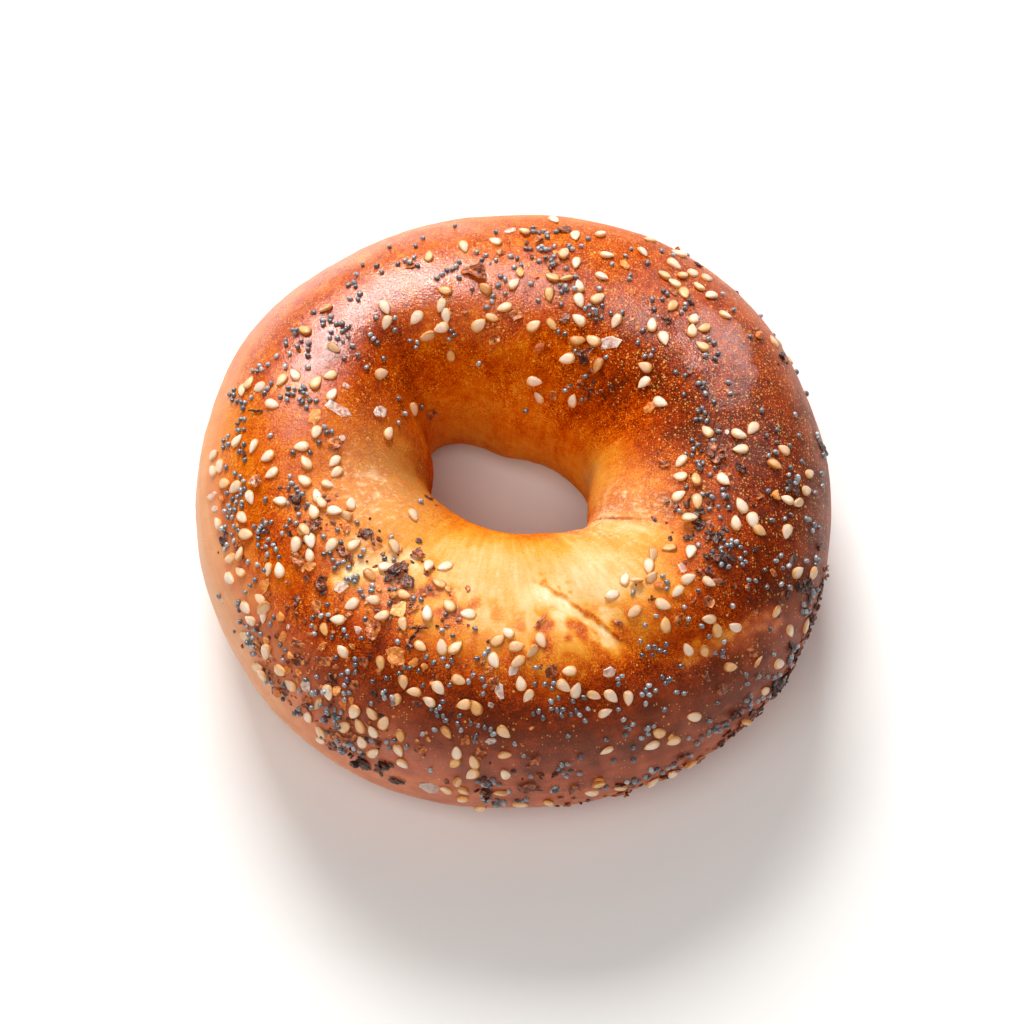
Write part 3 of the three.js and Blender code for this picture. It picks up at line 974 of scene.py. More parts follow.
# Poppy seeds as (x, y, how many lie together).
POPPY = {
    "upper left": (
        (455, 227, 1), (423, 239, 1), (416, 247, 1), (390, 248, 1), (363, 266, 1), (357, 275, 1),
        (377, 267, 1), (382, 273, 1), (398, 265, 1), (411, 265, 4), (356, 287, 3), (350, 299, 1),
        (358, 300, 2), (437, 279, 1), (442, 275, 1), (447, 271, 1), (451, 270, 1), (456, 267, 2),
        (486, 256, 4), (496, 233, 1), (459, 278, 1), (472, 289, 1), (498, 286, 1), (505, 280, 1),
        (514, 268, 1), (492, 302, 3), (505, 294, 1), (376, 318, 1), (393, 317, 1), (395, 330, 1),
        (314, 313, 1), (323, 321, 3), (331, 317, 1), (342, 324, 5), (343, 341, 7), (330, 338, 1),
        (299, 334, 6), (298, 347, 6), (290, 354, 1), (277, 357, 1), (286, 367, 1), (344, 359, 1),
        (373, 339, 3), (416, 347, 3), (383, 359, 1), (366, 368, 1), (479, 363, 1), (449, 339, 3),
        (258, 372, 5), (308, 368, 1), (268, 389, 3), (235, 396, 4), (242, 403, 4), (252, 398, 1),
        (301, 391, 8), (288, 395, 3), (310, 401, 5), (238, 424, 5), (229, 445, 4), (243, 446, 3),
        (271, 436, 1), (332, 432, 3), (319, 443, 1), (293, 453, 1), (310, 453, 1), (227, 468, 1),
        (236, 474, 1), (241, 477, 1), (298, 499, 8), (238, 497, 6), (266, 500, 1), (236, 510, 5),
        (290, 521, 1), (308, 514, 4), (230, 519, 1), (264, 532, 7), (357, 523, 1), (398, 399, 1),
        (404, 414, 1), (421, 407, 1), (398, 423, 1), (420, 502, 1),
    ),
    "upper right": (
        (533, 233, 2), (538, 233, 2), (543, 233, 2), (556, 233, 1), (588, 240, 1), (581, 247, 1),
        (572, 250, 1), (545, 252, 6), (552, 259, 8), (528, 249, 1), (517, 259, 1), (517, 268, 2),
        (504, 279, 1), (531, 284, 1), (569, 275, 1), (566, 290, 5), (561, 305, 1), (538, 301, 1),
        (599, 291, 1), (590, 306, 4), (594, 315, 5), (611, 314, 1), (622, 313, 1), (625, 257, 1),
        (631, 250, 1), (612, 265, 1), (630, 276, 2), (647, 264, 1), (661, 252, 1), (673, 256, 1),
        (652, 300, 1), (662, 300, 1), (667, 295, 2), (654, 310, 1), (685, 305, 2), (681, 313, 1),
        (643, 331, 1), (638, 343, 1), (651, 356, 3), (714, 344, 3), (705, 356, 1), (716, 354, 1),
        (733, 311, 1), (722, 295, 1), (750, 337, 1), (565, 334, 2), (596, 360, 1), (578, 347, 1),
        (566, 388, 1), (589, 384, 1), (583, 398, 1), (526, 410, 1), (676, 373, 1), (690, 372, 1),
        (703, 388, 4), (728, 383, 1), (730, 394, 1), (684, 395, 1), (702, 409, 3), (701, 420, 3),
        (714, 403, 1), (761, 411, 1), (794, 415, 1), (776, 430, 1), (798, 436, 1), (789, 446, 1),
        (721, 430, 1), (713, 441, 1), (692, 441, 1), (766, 436, 1), (776, 443, 1), (775, 453, 1),
        (768, 456, 1), (692, 456, 4), (700, 469, 4), (710, 475, 1), (719, 471, 1), (791, 480, 6),
        (820, 474, 1), (821, 486, 1), (814, 493, 1), (801, 462, 1), (821, 446, 4), (692, 497, 1),
        (702, 495, 1), (712, 498, 4), (727, 498, 5), (684, 504, 1), (762, 497, 1), (720, 518, 1),
        (771, 521, 1), (784, 519, 1), (790, 515, 1), (808, 520, 2), (813, 525, 3),
    ),
    "lower right": (
        (698, 546, 1), (736, 544, 4), (720, 540, 2), (720, 555, 6), (740, 559, 3), (667, 583, 3),
        (633, 593, 1), (656, 616, 1), (684, 607, 1), (698, 591, 1), (688, 619, 1), (701, 626, 1),
        (708, 636, 1), (640, 641, 1), (645, 625, 1), (655, 647, 5), (666, 644, 2), (642, 655, 1),
        (748, 580, 1), (755, 581, 1), (766, 587, 1), (780, 584, 1), (782, 568, 1), (775, 561, 1),
        (780, 556, 1), (788, 565, 1), (805, 561, 1), (791, 581, 1), (764, 570, 1), (804, 610, 6),
        (732, 606, 1), (770, 629, 1), (722, 651, 5), (745, 674, 1), (758, 676, 1), (746, 683, 1),
        (750, 695, 2), (717, 702, 1), (709, 720, 1), (688, 737, 1), (701, 736, 3), (713, 729, 4),
        (680, 666, 1), (676, 692, 2), (662, 677, 4), (645, 690, 5), (645, 703, 1), (664, 709, 1),
        (542, 666, 1), (535, 684, 1), (554, 681, 3), (551, 701, 3), (539, 711, 3), (563, 709, 4),
        (576, 710, 4), (586, 707, 1), (585, 720, 1), (618, 684, 3), (618, 709, 1), (623, 719, 1),
        (629, 728, 4), (646, 728, 4), (641, 737, 1), (606, 739, 1), (568, 735, 1), (580, 756, 1),
        (524, 755, 1), (515, 743, 1), (563, 771, 7), (557, 788, 4), (531, 775, 1), (613, 760, 1),
        (633, 747, 1), (633, 759, 1), (657, 768, 3), (509, 790, 1), (634, 780, 5), (523, 800, 3),
        (797, 648, 4), (788, 662, 4), (775, 680, 5), (811, 596, 4), (817, 560, 3), (762, 696, 3),
        (726, 722, 4), (742, 708, 3), (683, 756, 3), (667, 767, 3), (648, 776, 2), (606, 786, 2),
    ),
    "lower left": (
        (237, 503, 3), (230, 519, 1), (240, 531, 4), (263, 534, 4), (227, 543, 5), (259, 539, 1),
        (268, 555, 6), (249, 562, 1), (256, 580, 1), (246, 592, 1), (222, 599, 1), (242, 610, 5),
        (255, 630, 4), (252, 640, 4), (271, 624, 1), (274, 616, 1), (332, 547, 7), (347, 555, 4),
        (337, 559, 1), (351, 580, 6), (369, 594, 3), (394, 595, 2), (390, 604, 1), (414, 607, 1),
        (394, 562, 2), (391, 538, 1), (328, 618, 4), (309, 620, 1), (314, 634, 1), (344, 637, 3),
        (371, 620, 1), (362, 638, 1), (399, 642, 1), (475, 629, 1), (443, 630, 1), (453, 636, 1),
        (440, 621, 1), (443, 659, 4), (484, 660, 3), (488, 671, 1), (474, 673, 1), (467, 678, 1),
        (486, 684, 2), (373, 681, 1), (387, 678, 1), (402, 666, 4), (412, 668, 1), (358, 658, 1),
        (343, 658, 3), (318, 671, 1), (356, 672, 3), (385, 697, 6), (423, 685, 1), (448, 690, 1),
        (443, 701, 1), (438, 715, 5), (460, 715, 1), (458, 723, 3), (471, 723, 1), (435, 729, 1),
        (424, 732, 1), (491, 729, 5), (475, 740, 1), (431, 769, 1), (310, 695, 9), (340, 697, 6),
        (349, 690, 1), (330, 714, 6), (336, 727, 6), (340, 742, 9), (395, 739, 1), (407, 746, 1),
        (375, 746, 2), (394, 747, 1), (479, 777, 2), (490, 784, 6), (497, 801, 6), (286, 650, 3),
        (300, 708, 4), (281, 690, 3), (270, 680, 3), (265, 655, 3), (484, 797, 4), (352, 752, 3),
    ),
}

# Onion flakes as (x, y, length in millimetres, how charred from 0 to 1).
ONION_FLAKES = (
    (410, 265, 2.2, 0.45), (477, 274, 4.3, 0.5), (466, 272, 2.0, 0.35), (500, 253, 1.9, 0.4),
    (466, 311, 1.7, 0.55), (495, 340, 2.4, 0.35), (516, 316, 2.9, 0.35), (431, 413, 2.4, 0.5),
    (335, 445, 2.6, 0.4), (257, 482, 3.0, 0.35), (245, 454, 1.4, 0.7), (297, 501, 2.8, 0.9),
    (263, 521, 1.4, 0.6), (227, 536, 1.6, 0.7), (428, 498, 2.0, 0.6), (539, 241, 2.3, 0.5),
    (563, 230, 2.6, 0.65), (552, 265, 2.2, 0.55), (698, 266, 1.9, 0.8), (565, 319, 2.6, 0.6),
    (585, 360, 3.3, 0.8), (590, 352, 1.9, 0.7), (555, 395, 2.1, 0.4), (667, 319, 2.0, 0.8),
    (691, 304, 1.6, 0.95), (781, 357, 2.1, 1.0), (673, 292, 2.0, 0.5), (821, 447, 2.6, 0.9),
    (717, 456, 3.8, 0.6), (712, 449, 2.2, 0.5), (666, 465, 3.4, 0.45), (741, 470, 2.4, 0.85),
    (790, 486, 3.0, 0.85), (793, 493, 2.0, 0.8), (759, 497, 1.8, 0.6), (696, 519, 3.4, 0.85),
    (701, 526, 2.2, 0.8), (710, 525, 2.6, 0.6), (676, 507, 1.5, 0.8), (690, 372, 1.3, 0.7),
    (717, 539, 2.6, 0.9), (720, 562, 3.7, 0.95), (712, 556, 2.2, 0.95), (708, 571, 2.2, 0.75),
    (717, 582, 2.2, 0.6), (747, 587, 1.6, 0.6), (772, 574, 2.0, 0.4), (804, 584, 3.6, 1.0),
    (797, 588, 2.4, 0.95), (792, 560, 2.5, 0.9), (818, 547, 2.0, 0.9), (817, 621, 3.0, 1.0),
    (807, 630, 2.2, 0.95), (790, 645, 2.4, 0.9), (778, 682, 4.0, 1.0), (770, 688, 2.4, 0.9),
    (786, 671, 2.6, 0.9), (734, 714, 3.0, 0.8), (751, 653, 3.0, 0.45), (705, 676, 2.6, 0.6),
    (721, 689, 2.6, 0.55), (755, 612, 1.6, 0.5), (707, 601, 2.3, 0.4), (652, 599, 1.0, 0.8),
    (678, 620, 2.2, 0.5), (552, 673, 3.2, 0.65), (618, 623, 2.0, 0.45), (536, 759, 2.4, 0.55),
    (528, 787, 4.4, 0.65), (574, 787, 3.6, 0.6), (680, 756, 2.0, 0.9), (541, 774, 1.8, 0.8),
    (554, 773, 1.6, 0.8), (618, 784, 1.8, 0.85), (312, 528, 3.2, 0.6), (347, 529, 2.1, 0.4),
    (364, 533, 2.7, 0.85), (224, 542, 2.5, 0.85), (299, 560, 3.0, 0.38), (342, 552, 2.4, 0.65),
    (320, 586, 3.8, 0.72), (297, 599, 2.2, 0.7), (317, 608, 3.3, 0.4), (288, 608, 1.6, 0.75),
    (260, 644, 2.6, 0.5), (299, 643, 2.4, 0.45), (327, 661, 2.8, 0.45), (297, 662, 2.0, 0.75),
    (330, 676, 2.2, 0.85), (275, 673, 4.0, 0.5), (373, 630, 3.9, 0.45), (395, 573, 3.6, 0.82),
    (388, 578, 2.4, 0.85), (408, 584, 3.2, 0.8), (401, 566, 2.4, 0.75), (418, 556, 3.0, 0.62),
    (388, 618, 2.0, 0.7), (364, 662, 2.4, 0.65), (355, 686, 2.4, 0.5), (325, 688, 2.4, 0.4),
    (418, 703, 2.0, 0.6), (340, 736, 3.6, 0.5), (353, 734, 2.4, 0.5), (379, 743, 2.1, 0.55),
    (364, 762, 3.8, 1.0), (358, 757, 2.4, 0.95), (384, 764, 3.2, 1.0), (377, 770, 2.0, 0.95),
    (397, 780, 3.0, 0.95), (420, 749, 2.5, 0.4), (466, 740, 2.4, 0.45), (481, 753, 2.6, 0.5),
    (486, 790, 3.0, 0.85), (447, 781, 1.6, 0.6), (494, 683, 2.6, 0.5), (488, 671, 2.0, 0.4),
    (310, 704, 2.4, 0.6), (333, 746, 2.6, 0.7), (286, 688, 2.0, 0.6), (349, 558, 1.8, 0.7),
)

# Thin dry slivers of onion, given like the flakes.
ONION_SLIVERS = (
    (257, 412, 3.2, 0.85), (588, 389, 3.2, 0.75), (372, 539, 2.8, 0.7), (418, 628, 4.2, 0.72),
    (413, 638, 4.0, 0.78), (755, 330, 2.8, 0.3), (693, 601, 1.7, 0.4), (540, 622, 3.2, 0.38),
)

# Golden bits of dried garlic as (x, y, length in millimetres, how brown from 0 to 1).
GARLIC = (
    (314, 417, 3.2, 0.35), (224, 500, 1.7, 0.6), (520, 273, 2.0, 0.2), (624, 265, 2.7, 0.35),
    (540, 348, 2.3, 0.75), (758, 337, 2.2, 0.6), (650, 408, 2.5, 0.5), (775, 496, 2.0, 0.4),
    (659, 586, 1.8, 0.6), (310, 567, 2.4, 0.5), (267, 586, 2.5, 0.45), (282, 617, 1.9, 0.4),
    (284, 636, 2.1, 0.5), (324, 647, 1.6, 0.6), (288, 669, 2.0, 0.5), (280, 690, 2.2, 0.6),
    (399, 610, 3.2, 0.15), (397, 656, 3.8, 0.5), (414, 662, 1.7, 0.45), (344, 703, 2.8, 0.65),
    (599, 779, 1.8, 0.4), (671, 736, 1.6, 0.3), (394, 597, 1.4, 0.4), (303, 533, 2.0, 0.25),
    (448, 590, 1.2, 0.2), (338, 690, 1.8, 0.4), (425, 666, 1.4, 0.5), (293, 655, 1.5, 0.4),
    (268, 640, 1.5, 0.35), (301, 672, 1.6, 0.5), (352, 700, 1.5, 0.5), (379, 590, 1.3, 0.5),
)

# Coarse salt as (x, y, length and width in millimetres).
SALT = (
    (337, 409, 6.2, 2.4), (380, 412, 3.3, 2.4), (346, 386, 1.5, 1.2), (342, 438, 1.6, 1.3),
    (213, 496, 3.6, 1.6), (215, 509, 2.6, 1.3), (609, 343, 5.2, 2.6), (510, 231, 2.8, 1.8),
    (341, 587, 3.2, 2.6), (308, 685, 2.4, 2.1), (269, 652, 3.0, 1.4), (358, 630, 1.8, 1.3),
    (430, 787, 4.2, 3.8), (514, 669, 3.0, 1.8), (500, 690, 3.4, 1.8), (609, 672, 2.6, 2.0),
    (491, 741, 2.2, 1.4), (682, 568, 2.2, 1.6), (491, 705, 1.2, 1.0), (345, 728, 1.3, 0.9),
    (288, 627, 1.1, 0.8), (727, 432, 1.3, 0.8), (256, 483, 1.4, 1.0), (223, 601, 1.1, 0.7),
    (548, 802, 2.2, 1.4),
)

# Bits that run on over the far right shoulder, which the photo hides: between which directions
# round the ring and section angles, and how many.
HIDDEN_SHOULDER = dict(rings=(18, 60), sections=(140, 176))
HIDDEN_SESAME = 3
HIDDEN_POPPY = 8
HIDDEN_ONION = 2
HIDDEN_TRIES = 400
TURNED_AWAY = 0.05  # least cosine between a hidden spot's normal and the line of sight
LOOSE_CRUMBS = 100  # tiny dark crumbs that lie about among the flakes

# Fields of crumbs: the middle and spread in pixels, how many, and how charred.
CRUMB_FIELDS = (
    (300, 690, 30, 90, 0.55), (268, 645, 16, 40, 0.5), (390, 600, 30, 26, 0.6), (345, 752, 22, 44, 0.7),
    (420, 690, 36, 24, 0.6), (705, 545, 20, 34, 0.85), (590, 385, 14, 14, 0.7), (556, 258, 16, 16, 0.65),
    (320, 520, 22, 22, 0.7), (700, 470, 22, 16, 0.7), (500, 785, 36, 24, 0.7), (795, 590, 16, 26, 0.95),
    (410, 575, 14, 16, 0.8), (325, 620, 26, 22, 0.5), (248, 545, 14, 16, 0.6), (440, 640, 22, 16, 0.5),
)

# Crumbs that line the front edge of the crown as the camera sees it.
EDGE_PATH = ((560, 803), (640, 793), (700, 762), (748, 722), (782, 688), (806, 648), (824, 608), (832, 560))
EDGE_CRUMBS = 180
BARE_BELOW = 24.0  # loose crumbs stay above this height

# --- shapes of the toppings ---------------------------------------------------------------

SESAME_LENGTH = (2.75, 3.3)
SESAME_WIDTH = (0.58, 0.68)  # share of the length
SESAME_THICKNESS = (0.26, 0.33)  # share of the length
SESAME_TAPER = (0.32, 0.48)  # power by which the pointed end narrows
SESAME_BEND = 0.05  # share of the length
POPPY_RADIUS = (0.43, 0.54)
POPPY_STRETCH = (1.05, 1.22)
POPPY_DENT = 0.22  # share of the radius
ONION_THICKNESS = 0.30
ONION_WIDTH = (0.55, 0.85)  # share of the length
SLIVER_WIDTH = (0.16, 0.24)
CRUMB_FLATNESS = (0.45, 0.8)
SHAPE_SEEDS = 60.0  # range of the seeds that give each flake and crumb its own shape
SALT_THICKNESS = 0.32
SALT_LEVELS = ((0.86, -0.5), (1.0, -0.15), (0.97, 0.2), (0.78, 0.5))  # outline's scale and level
SALT_ROUGHNESS = 0.03


def closed_rows(rows, sides):
    """Triangles and quads of a round body: a first point, rings of points, a last point."""
    faces = []
    last = 1 + rows * sides
    for side in range(sides):
        after = (side + 1) % sides
        faces.append((0, 1 + after, 1 + side))
        for row in range(rows - 1):
            here, below = 1 + row * sides, 1 + (row + 1) * sides
            faces.append((here + side, here + after, below + after, below + side))
        base = 1 + (rows - 1) * sides
        faces.append((base + side, base + after, last))
    return faces


def round_body(rows, sides, shape):
    """A closed body from shape(turn, spin): turn runs 0 to pi from end to end."""
    places = [shape(0.0, 0.0)]
    for row in range(1, rows + 1):
        turn = math.pi * row / (rows + 1)
        places += [shape(turn, TURN_RADIANS * side / sides) for side in range(sides)]
    places.append(shape(math.pi, 0.0))
    return np.array(places), closed_rows(rows, sides)


def squared(share, power=0.78):
    """Bends a sine or cosine so that a round section turns a little boxy."""
    return math.copysign(abs(share) ** power, share)


def sesame_seed(rng):
    """A flattened teardrop, its pointed end towards +x."""
    length = rng.uniform(*SESAME_LENGTH)
    width = length * rng.uniform(*SESAME_WIDTH)
    thickness = length * rng.uniform(*SESAME_THICKNESS)
    taper = rng.uniform(*SESAME_TAPER)
    bend = rng.uniform(-SESAME_BEND, SESAME_BEND)

    def shape(turn, spin):
        run = -math.cos(turn)
        girth = math.sin(turn) * (0.5 * (1.0 - run) + 1e-6) ** taper * 1.28
        across = 0.5 * width * girth * squared(math.cos(spin))
        up = 0.5 * thickness * girth**0.8 * squared(math.sin(spin))
        return (0.5 * length * run, across + bend * length * run * run, up)

    return round_body(10, 14, shape)


def poppy_seed(rng):
    """A small bean with a shallow dent in one side."""
    radius = rng.uniform(*POPPY_RADIUS)
    stretch = rng.uniform(*POPPY_STRETCH)

    def shape(turn, spin):
        run, girth = -math.cos(turn), math.sin(turn)
        dent = 1.0 - POPPY_DENT * math.exp(-((run / 0.5) ** 2)) * max(0.0, -math.cos(spin)) ** 3
        across = radius * 0.95 * girth * math.cos(spin) * dent
        return (radius * stretch * run, across, radius * 0.92 * girth * math.sin(spin))

    return round_body(7, 10, shape)


def rough_places(places, size, height, seed):
    """Pushes points about by noise, evenly in the three directions."""
    start = Vector((seed, 0.0, -seed))
    push = [noise.noise_vector(Vector(place / size) + start) for place in places]
    return places + height * np.array(push)


def onion_flake(rng, length, sliver=False):
    """A thin curled chip with a ragged outline."""
    width = length * rng.uniform(*(SLIVER_WIDTH if sliver else ONION_WIDTH))
    seed = rng.uniform(0.0, SHAPE_SEEDS)
    curl = rng.uniform(-0.5, 0.7)
    fold = rng.uniform(0.0, 0.5)

    def shape(turn, spin):
        corner = Vector((math.cos(spin) * 1.3, math.sin(spin) * 1.3, seed))
        ragged = 1.0 + 0.5 * noise.noise(corner) + 0.3 * noise.noise(corner * 2.7)
        reach = math.sin(turn) ** 0.6 * ragged
        run = 0.5 * length * reach * math.cos(spin)
        across = 0.5 * width * reach * math.sin(spin)
        up = -math.cos(turn) * 0.5 * ONION_THICKNESS
        arch = curl * (2.0 * across / width) ** 2 * 0.3 * width + fold * abs(across) * 0.5
        return (run, across, up + arch)

    places, faces = round_body(5, 12, shape)
    return rough_places(places, 1.0, min(0.36, 0.14 * length), seed), faces


def crumb(rng, length):
    """A lumpy crumb."""
    seed = rng.uniform(0.0, SHAPE_SEEDS)
    flat = rng.uniform(*CRUMB_FLATNESS)

    def shape(turn, spin):
        girth = 0.42 * length * math.sin(turn)
        return (-0.5 * length * math.cos(turn), girth * math.cos(spin), flat * girth * math.sin(spin))

    places, faces = round_body(4, 8, shape)
    return rough_places(places, 0.5 * length, 0.2 * length, seed), faces


def salt_flake(rng, length, width):
    """A flat splinter of rock salt with straight edges."""
    corners = int(rng.integers(5, 8))
    angles = np.arange(corners) + rng.uniform(-0.28, 0.28, corners)
    angles = np.sort(angles * TURN_RADIANS / corners)
    outline = np.stack([0.5 * length * np.cos(angles), 0.5 * width * np.sin(angles)], 1)
    thickness = SALT_THICKNESS * min(1.0, width / 2.0)
    tilt = rng.uniform(-0.12, 0.12, 2)
    rows = []
    for scale, level in SALT_LEVELS:
        ring = outline * scale
        rows.append(np.column_stack([ring, thickness * level + ring @ tilt]))
    ends = [(0.0, 0.0, -0.5 * thickness), (0.0, 0.0, 0.42 * thickness)]
    places = np.vstack([ends[0], *rows, ends[1]])
    return places + rng.normal(0.0, SALT_ROUGHNESS, places.shape), closed_rows(len(rows), corners)


# --- laying the toppings on the crust -----------------------------------------------------


CRUST_TREE = BVHTree.FromPolygons(SKIN.reshape(-1, 3).tolist(), grid_quads(*SKIN.shape[:2]))
SPOT_TRIES = 40
SPOT_STEP = 0.03  # share of the way to the middle of the ring that each try moves


def loose_spot(x, y):
    """Crust point and normal seen at a pixel, or None off the ring or on its bare sides."""
    place, normal, _, _ = CRUST_TREE.ray_cast(camera_place(), pixel_direction(x, y))
    if place is None or place.z < BARE_BELOW:
        return None
    return place, normal


def spot_under_pixel(x, y):
    """Crust point and normal seen at a pixel; one just off the ring is moved onto it."""
    eye = camera_place()
    away = np.array([x - BAGEL_MIDDLE_PIXEL[0], y - BAGEL_MIDDLE_PIXEL[1]])
    target = np.array(BAGEL_MIDDLE_PIXEL) + away * RING_MIDDLE_PIXELS / np.hypot(*away)
    pixel = np.array([x, y], float)
    for _ in range(SPOT_TRIES):
        place, normal, _, _ = CRUST_TREE.ray_cast(eye, pixel_direction(*pixel))
        if place is not None:
            return place, normal
        pixel += SPOT_STEP * (target - pixel)
    raise ValueError(f"no crust near pixel {x:.0f}, {y:.0f}")


def spot_near(place):
    """Crust point and normal nearest to a place."""
    near, normal, _, _ = CRUST_TREE.find_nearest(place)
    return near, normal


# Bits lie beside each other from the first share of the sum of their half lengths.  A bit that
# is nearer than the second share is lifted onto the other.
CLOSEST = 0.88
STACKING = 0.62
STACK_REST = 0.72  # share of the lower bit's top on which the upper one's middle rests
STACK_SLOPE = 0.3  # how much lower that is a whole sum away
ON_EDGE = 0.5  # roll in radians from which a bit stands on its edge
WOBBLE = 0.10  # spread in radians of the bits' lean


class Pile:
    """Collects bits of one kind into a single mesh, and stacks bits that lie on others."""

    taken = []  # (place, radius, height) of every bit so far, of all kinds

    def __init__(self):
        self.places, self.faces, self.tones, self.runs, self.rims = [], [], [], [], []
        self.count = 0

    @staticmethod
    def free(place, radius):
        """Whether a small bit has room at a place beside the bits laid so far."""
        return all(
            (other - place).length > CLOSEST * (reach + radius) for other, reach, _ in Pile.taken
        )

    def lay(self, body, spot, rng, sink=0.2, roll=0.0, tone=0.0):
        """Adds a body with its middle at the spot, sunk by a share of its own height."""
        local, faces = body
        place, normal = spot
        length, width, height = np.ptp(local, axis=0)
        if abs(roll) >= ON_EDGE:
            height = width
        radius = 0.5 * length
        lift = height * (0.5 - sink)
        for other, reach, top in Pile.taken:
            gap = (other - place).length
            apart = reach + radius
            if gap < STACKING * apart:
                lift = max(lift, STACK_REST * top * (1.0 - STACK_SLOPE * gap / apart) + 0.4 * height)
        Pile.taken.append((place.copy(), radius, lift + 0.5 * height))
        spin = rng.uniform(0.0, TURN_RADIANS)
        turn = normal.to_track_quat("Z", "Y").to_matrix()
        turn = turn @ Matrix.Rotation(spin, 3, "Z") @ Matrix.Rotation(roll, 3, "X")
        turn = turn @ Matrix.Rotation(rng.normal(0.0, WOBBLE), 3, "Y")
        self.places.append(local @ np.array(turn).T + np.array(place + normal * lift))
        self.faces += [tuple(index + self.count for index in face) for face in faces]
        self.tones.append(np.full(len(local), tone))
        self.runs.append(local[:, 0] / radius)
        self.rims.append(np.hypot(local[:, 0] / radius, local[:, 1] / (0.5 * width)))
        self.count += len(local)

    def piece(self, name, material, slot, smooth_faces=True):
        """Makes the collected bits into one piece with the attributes that its material reads."""
        mesh = bpy.data.meshes.new(name)
        mesh.from_pydata((np.vstack(self.places) * MM).tolist(), [], self.faces)
        mesh.polygons.foreach_set("use_smooth", np.full(len(self.faces), smooth_faces))
        for label, values in (("tone", self.tones), ("run", self.runs), ("rim", self.rims)):
            add_values(mesh, label, np.concatenate(values))
        mesh.materials.append(material)
        piece = add_object(name, mesh)
        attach(piece, "root")


def hidden_spots(count, rng, radius):
    """Crust points and normals on the far shoulder that have room for bits of a radius."""
    spots = []
    eye = camera_place()
    for _ in range(HIDDEN_TRIES):
        ring = np.argmin(turn_between(RINGS, rng.uniform(*HIDDEN_SHOULDER["rings"])))
        step = np.argmin(turn_between(SECTIONS, rng.uniform(*HIDDEN_SHOULDER["sections"])))
        place, normal = spot_near(Vector(SKIN[ring, step]))
        apart = all((place - other).length > 2.0 * radius for other, _ in spots)
        turned_away = normal.dot((place - eye).normalized()) > TURNED_AWAY
        if turned_away and apart and Pile.free(place, radius) and len(spots) < count:
            spots.append((place, normal))
    return spots


CHARRED = 0.7  # tone above which a flake may be a burnt clump
CLUMP_CHANCE = 0.6
CLUMP_CHIPS = 3
CHIP_LENGTH = 0.9  # in the crumb fields, longer bits are chips and shorter ones are crumbs
GARLIC_CHIP_LENGTH = 2.2


def lay_clump(pile, spot, rng, length, tone):
    """Lays a burnt clump: a crumb with small chips stuck to it."""
    pile.lay(crumb(rng, 0.75 * length), spot, rng, sink=0.22, tone=tone)
    for _ in range(CLUMP_CHIPS):
        push = Vector(rng.normal(0.0, 0.32 * length, 3))
        chip = onion_flake(rng, rng.uniform(0.4, 0.6) * length)
        pile.lay(chip, spot_near(spot[0] + push), rng, sink=-0.1, roll=rng.normal(0, 0.5), tone=tone)


def lay_crumb(pile, spot, rng, length, tone):
    """Lays a crumb, or a small chip if it is long enough, unless there is no spot for it."""
    if spot is None:
        return
    body = onion_flake(rng, length) if length > CHIP_LENGTH else crumb(rng, length)
    pile.lay(body, spot, rng, sink=0.15, roll=rng.normal(0.0, 0.15), tone=float(np.clip(tone, 0.1, 1.0)))


def lay_crumbs(pile, rng):
    """Lays the crumbs of the fields, those on the front edge, and loose ones by the flakes."""
    for x, y, spread, count, tone in CRUMB_FIELDS:
        for _ in range(count):
            spot = loose_spot(x + rng.normal(0.0, spread), y + rng.normal(0.0, spread))
            lay_crumb(pile, spot, rng, rng.uniform(0.4, 1.5), tone + rng.normal(0.0, 0.2))
    path_share = np.linspace(0.0, 1.0, len(EDGE_PATH))
    for share in rng.uniform(0.0, 1.0, EDGE_CRUMBS):
        x, y = (np.interp(share, path_share, line) + rng.normal(0.0, 3.0) for line in zip(*EDGE_PATH))
        lay_crumb(pile, spot_under_pixel(x, y), rng, rng.uniform(0.5, 1.7), rng.uniform(0.4, 1.1))
    for _ in range(LOOSE_CRUMBS):
        x, y, _, tone = ONION_FLAKES[rng.integers(len(ONION_FLAKES))]
        spot = loose_spot(x + rng.normal(0.0, 9.0), y + rng.normal(0.0, 9.0))
        lay_crumb(pile, spot, rng, rng.uniform(0.35, 0.8), tone + 0.1)


def lay_onion(rng):
    pile = Pile()
    for x, y, length, tone in ONION_FLAKES:
        spot = spot_under_pixel(x, y)
        if tone > CHARRED and rng.random() < CLUMP_CHANCE:
            lay_clump(pile, spot, rng, length, tone)
        else:
            pile.lay(onion_flake(rng, length), spot, rng, sink=0.0, tone=tone)
    for x, y, length, tone in ONION_SLIVERS:
        sliver = onion_flake(rng, length, sliver=True)
        pile.lay(sliver, spot_under_pixel(x, y), rng, sink=-0.2, tone=tone)
    for spot in hidden_spots(HIDDEN_ONION, rng, 1.0):
        flake = onion_flake(rng, rng.uniform(1.0, 2.2))
        pile.lay(flake, spot, rng, sink=0.3, tone=rng.uniform(0.4, 0.9))
    lay_crumbs(pile, rng)
    material = chip_material("onion", ONION_STOPS, grain=(0.8, 0.45), roughness=0.35, bumps=(0.5, 0.10))
    pile.piece("onion_flakes", material, "onion", smooth_faces=False)


def lay_garlic(rng):
    pile = Pile()
    for x, y, length, tone in GARLIC:
        body = onion_flake(rng, length) if length > GARLIC_CHIP_LENGTH else crumb(rng, length)
        pile.lay(body, spot_under_pixel(x, y), rng, sink=0.1, tone=tone)
    material = chip_material("garlic", GARLIC_STOPS, grain=(0.5, 0.2), roughness=0.5, bumps=(0.3, 0.08))
    pile.piece("garlic_granules", material, "garlic", smooth_faces=False)


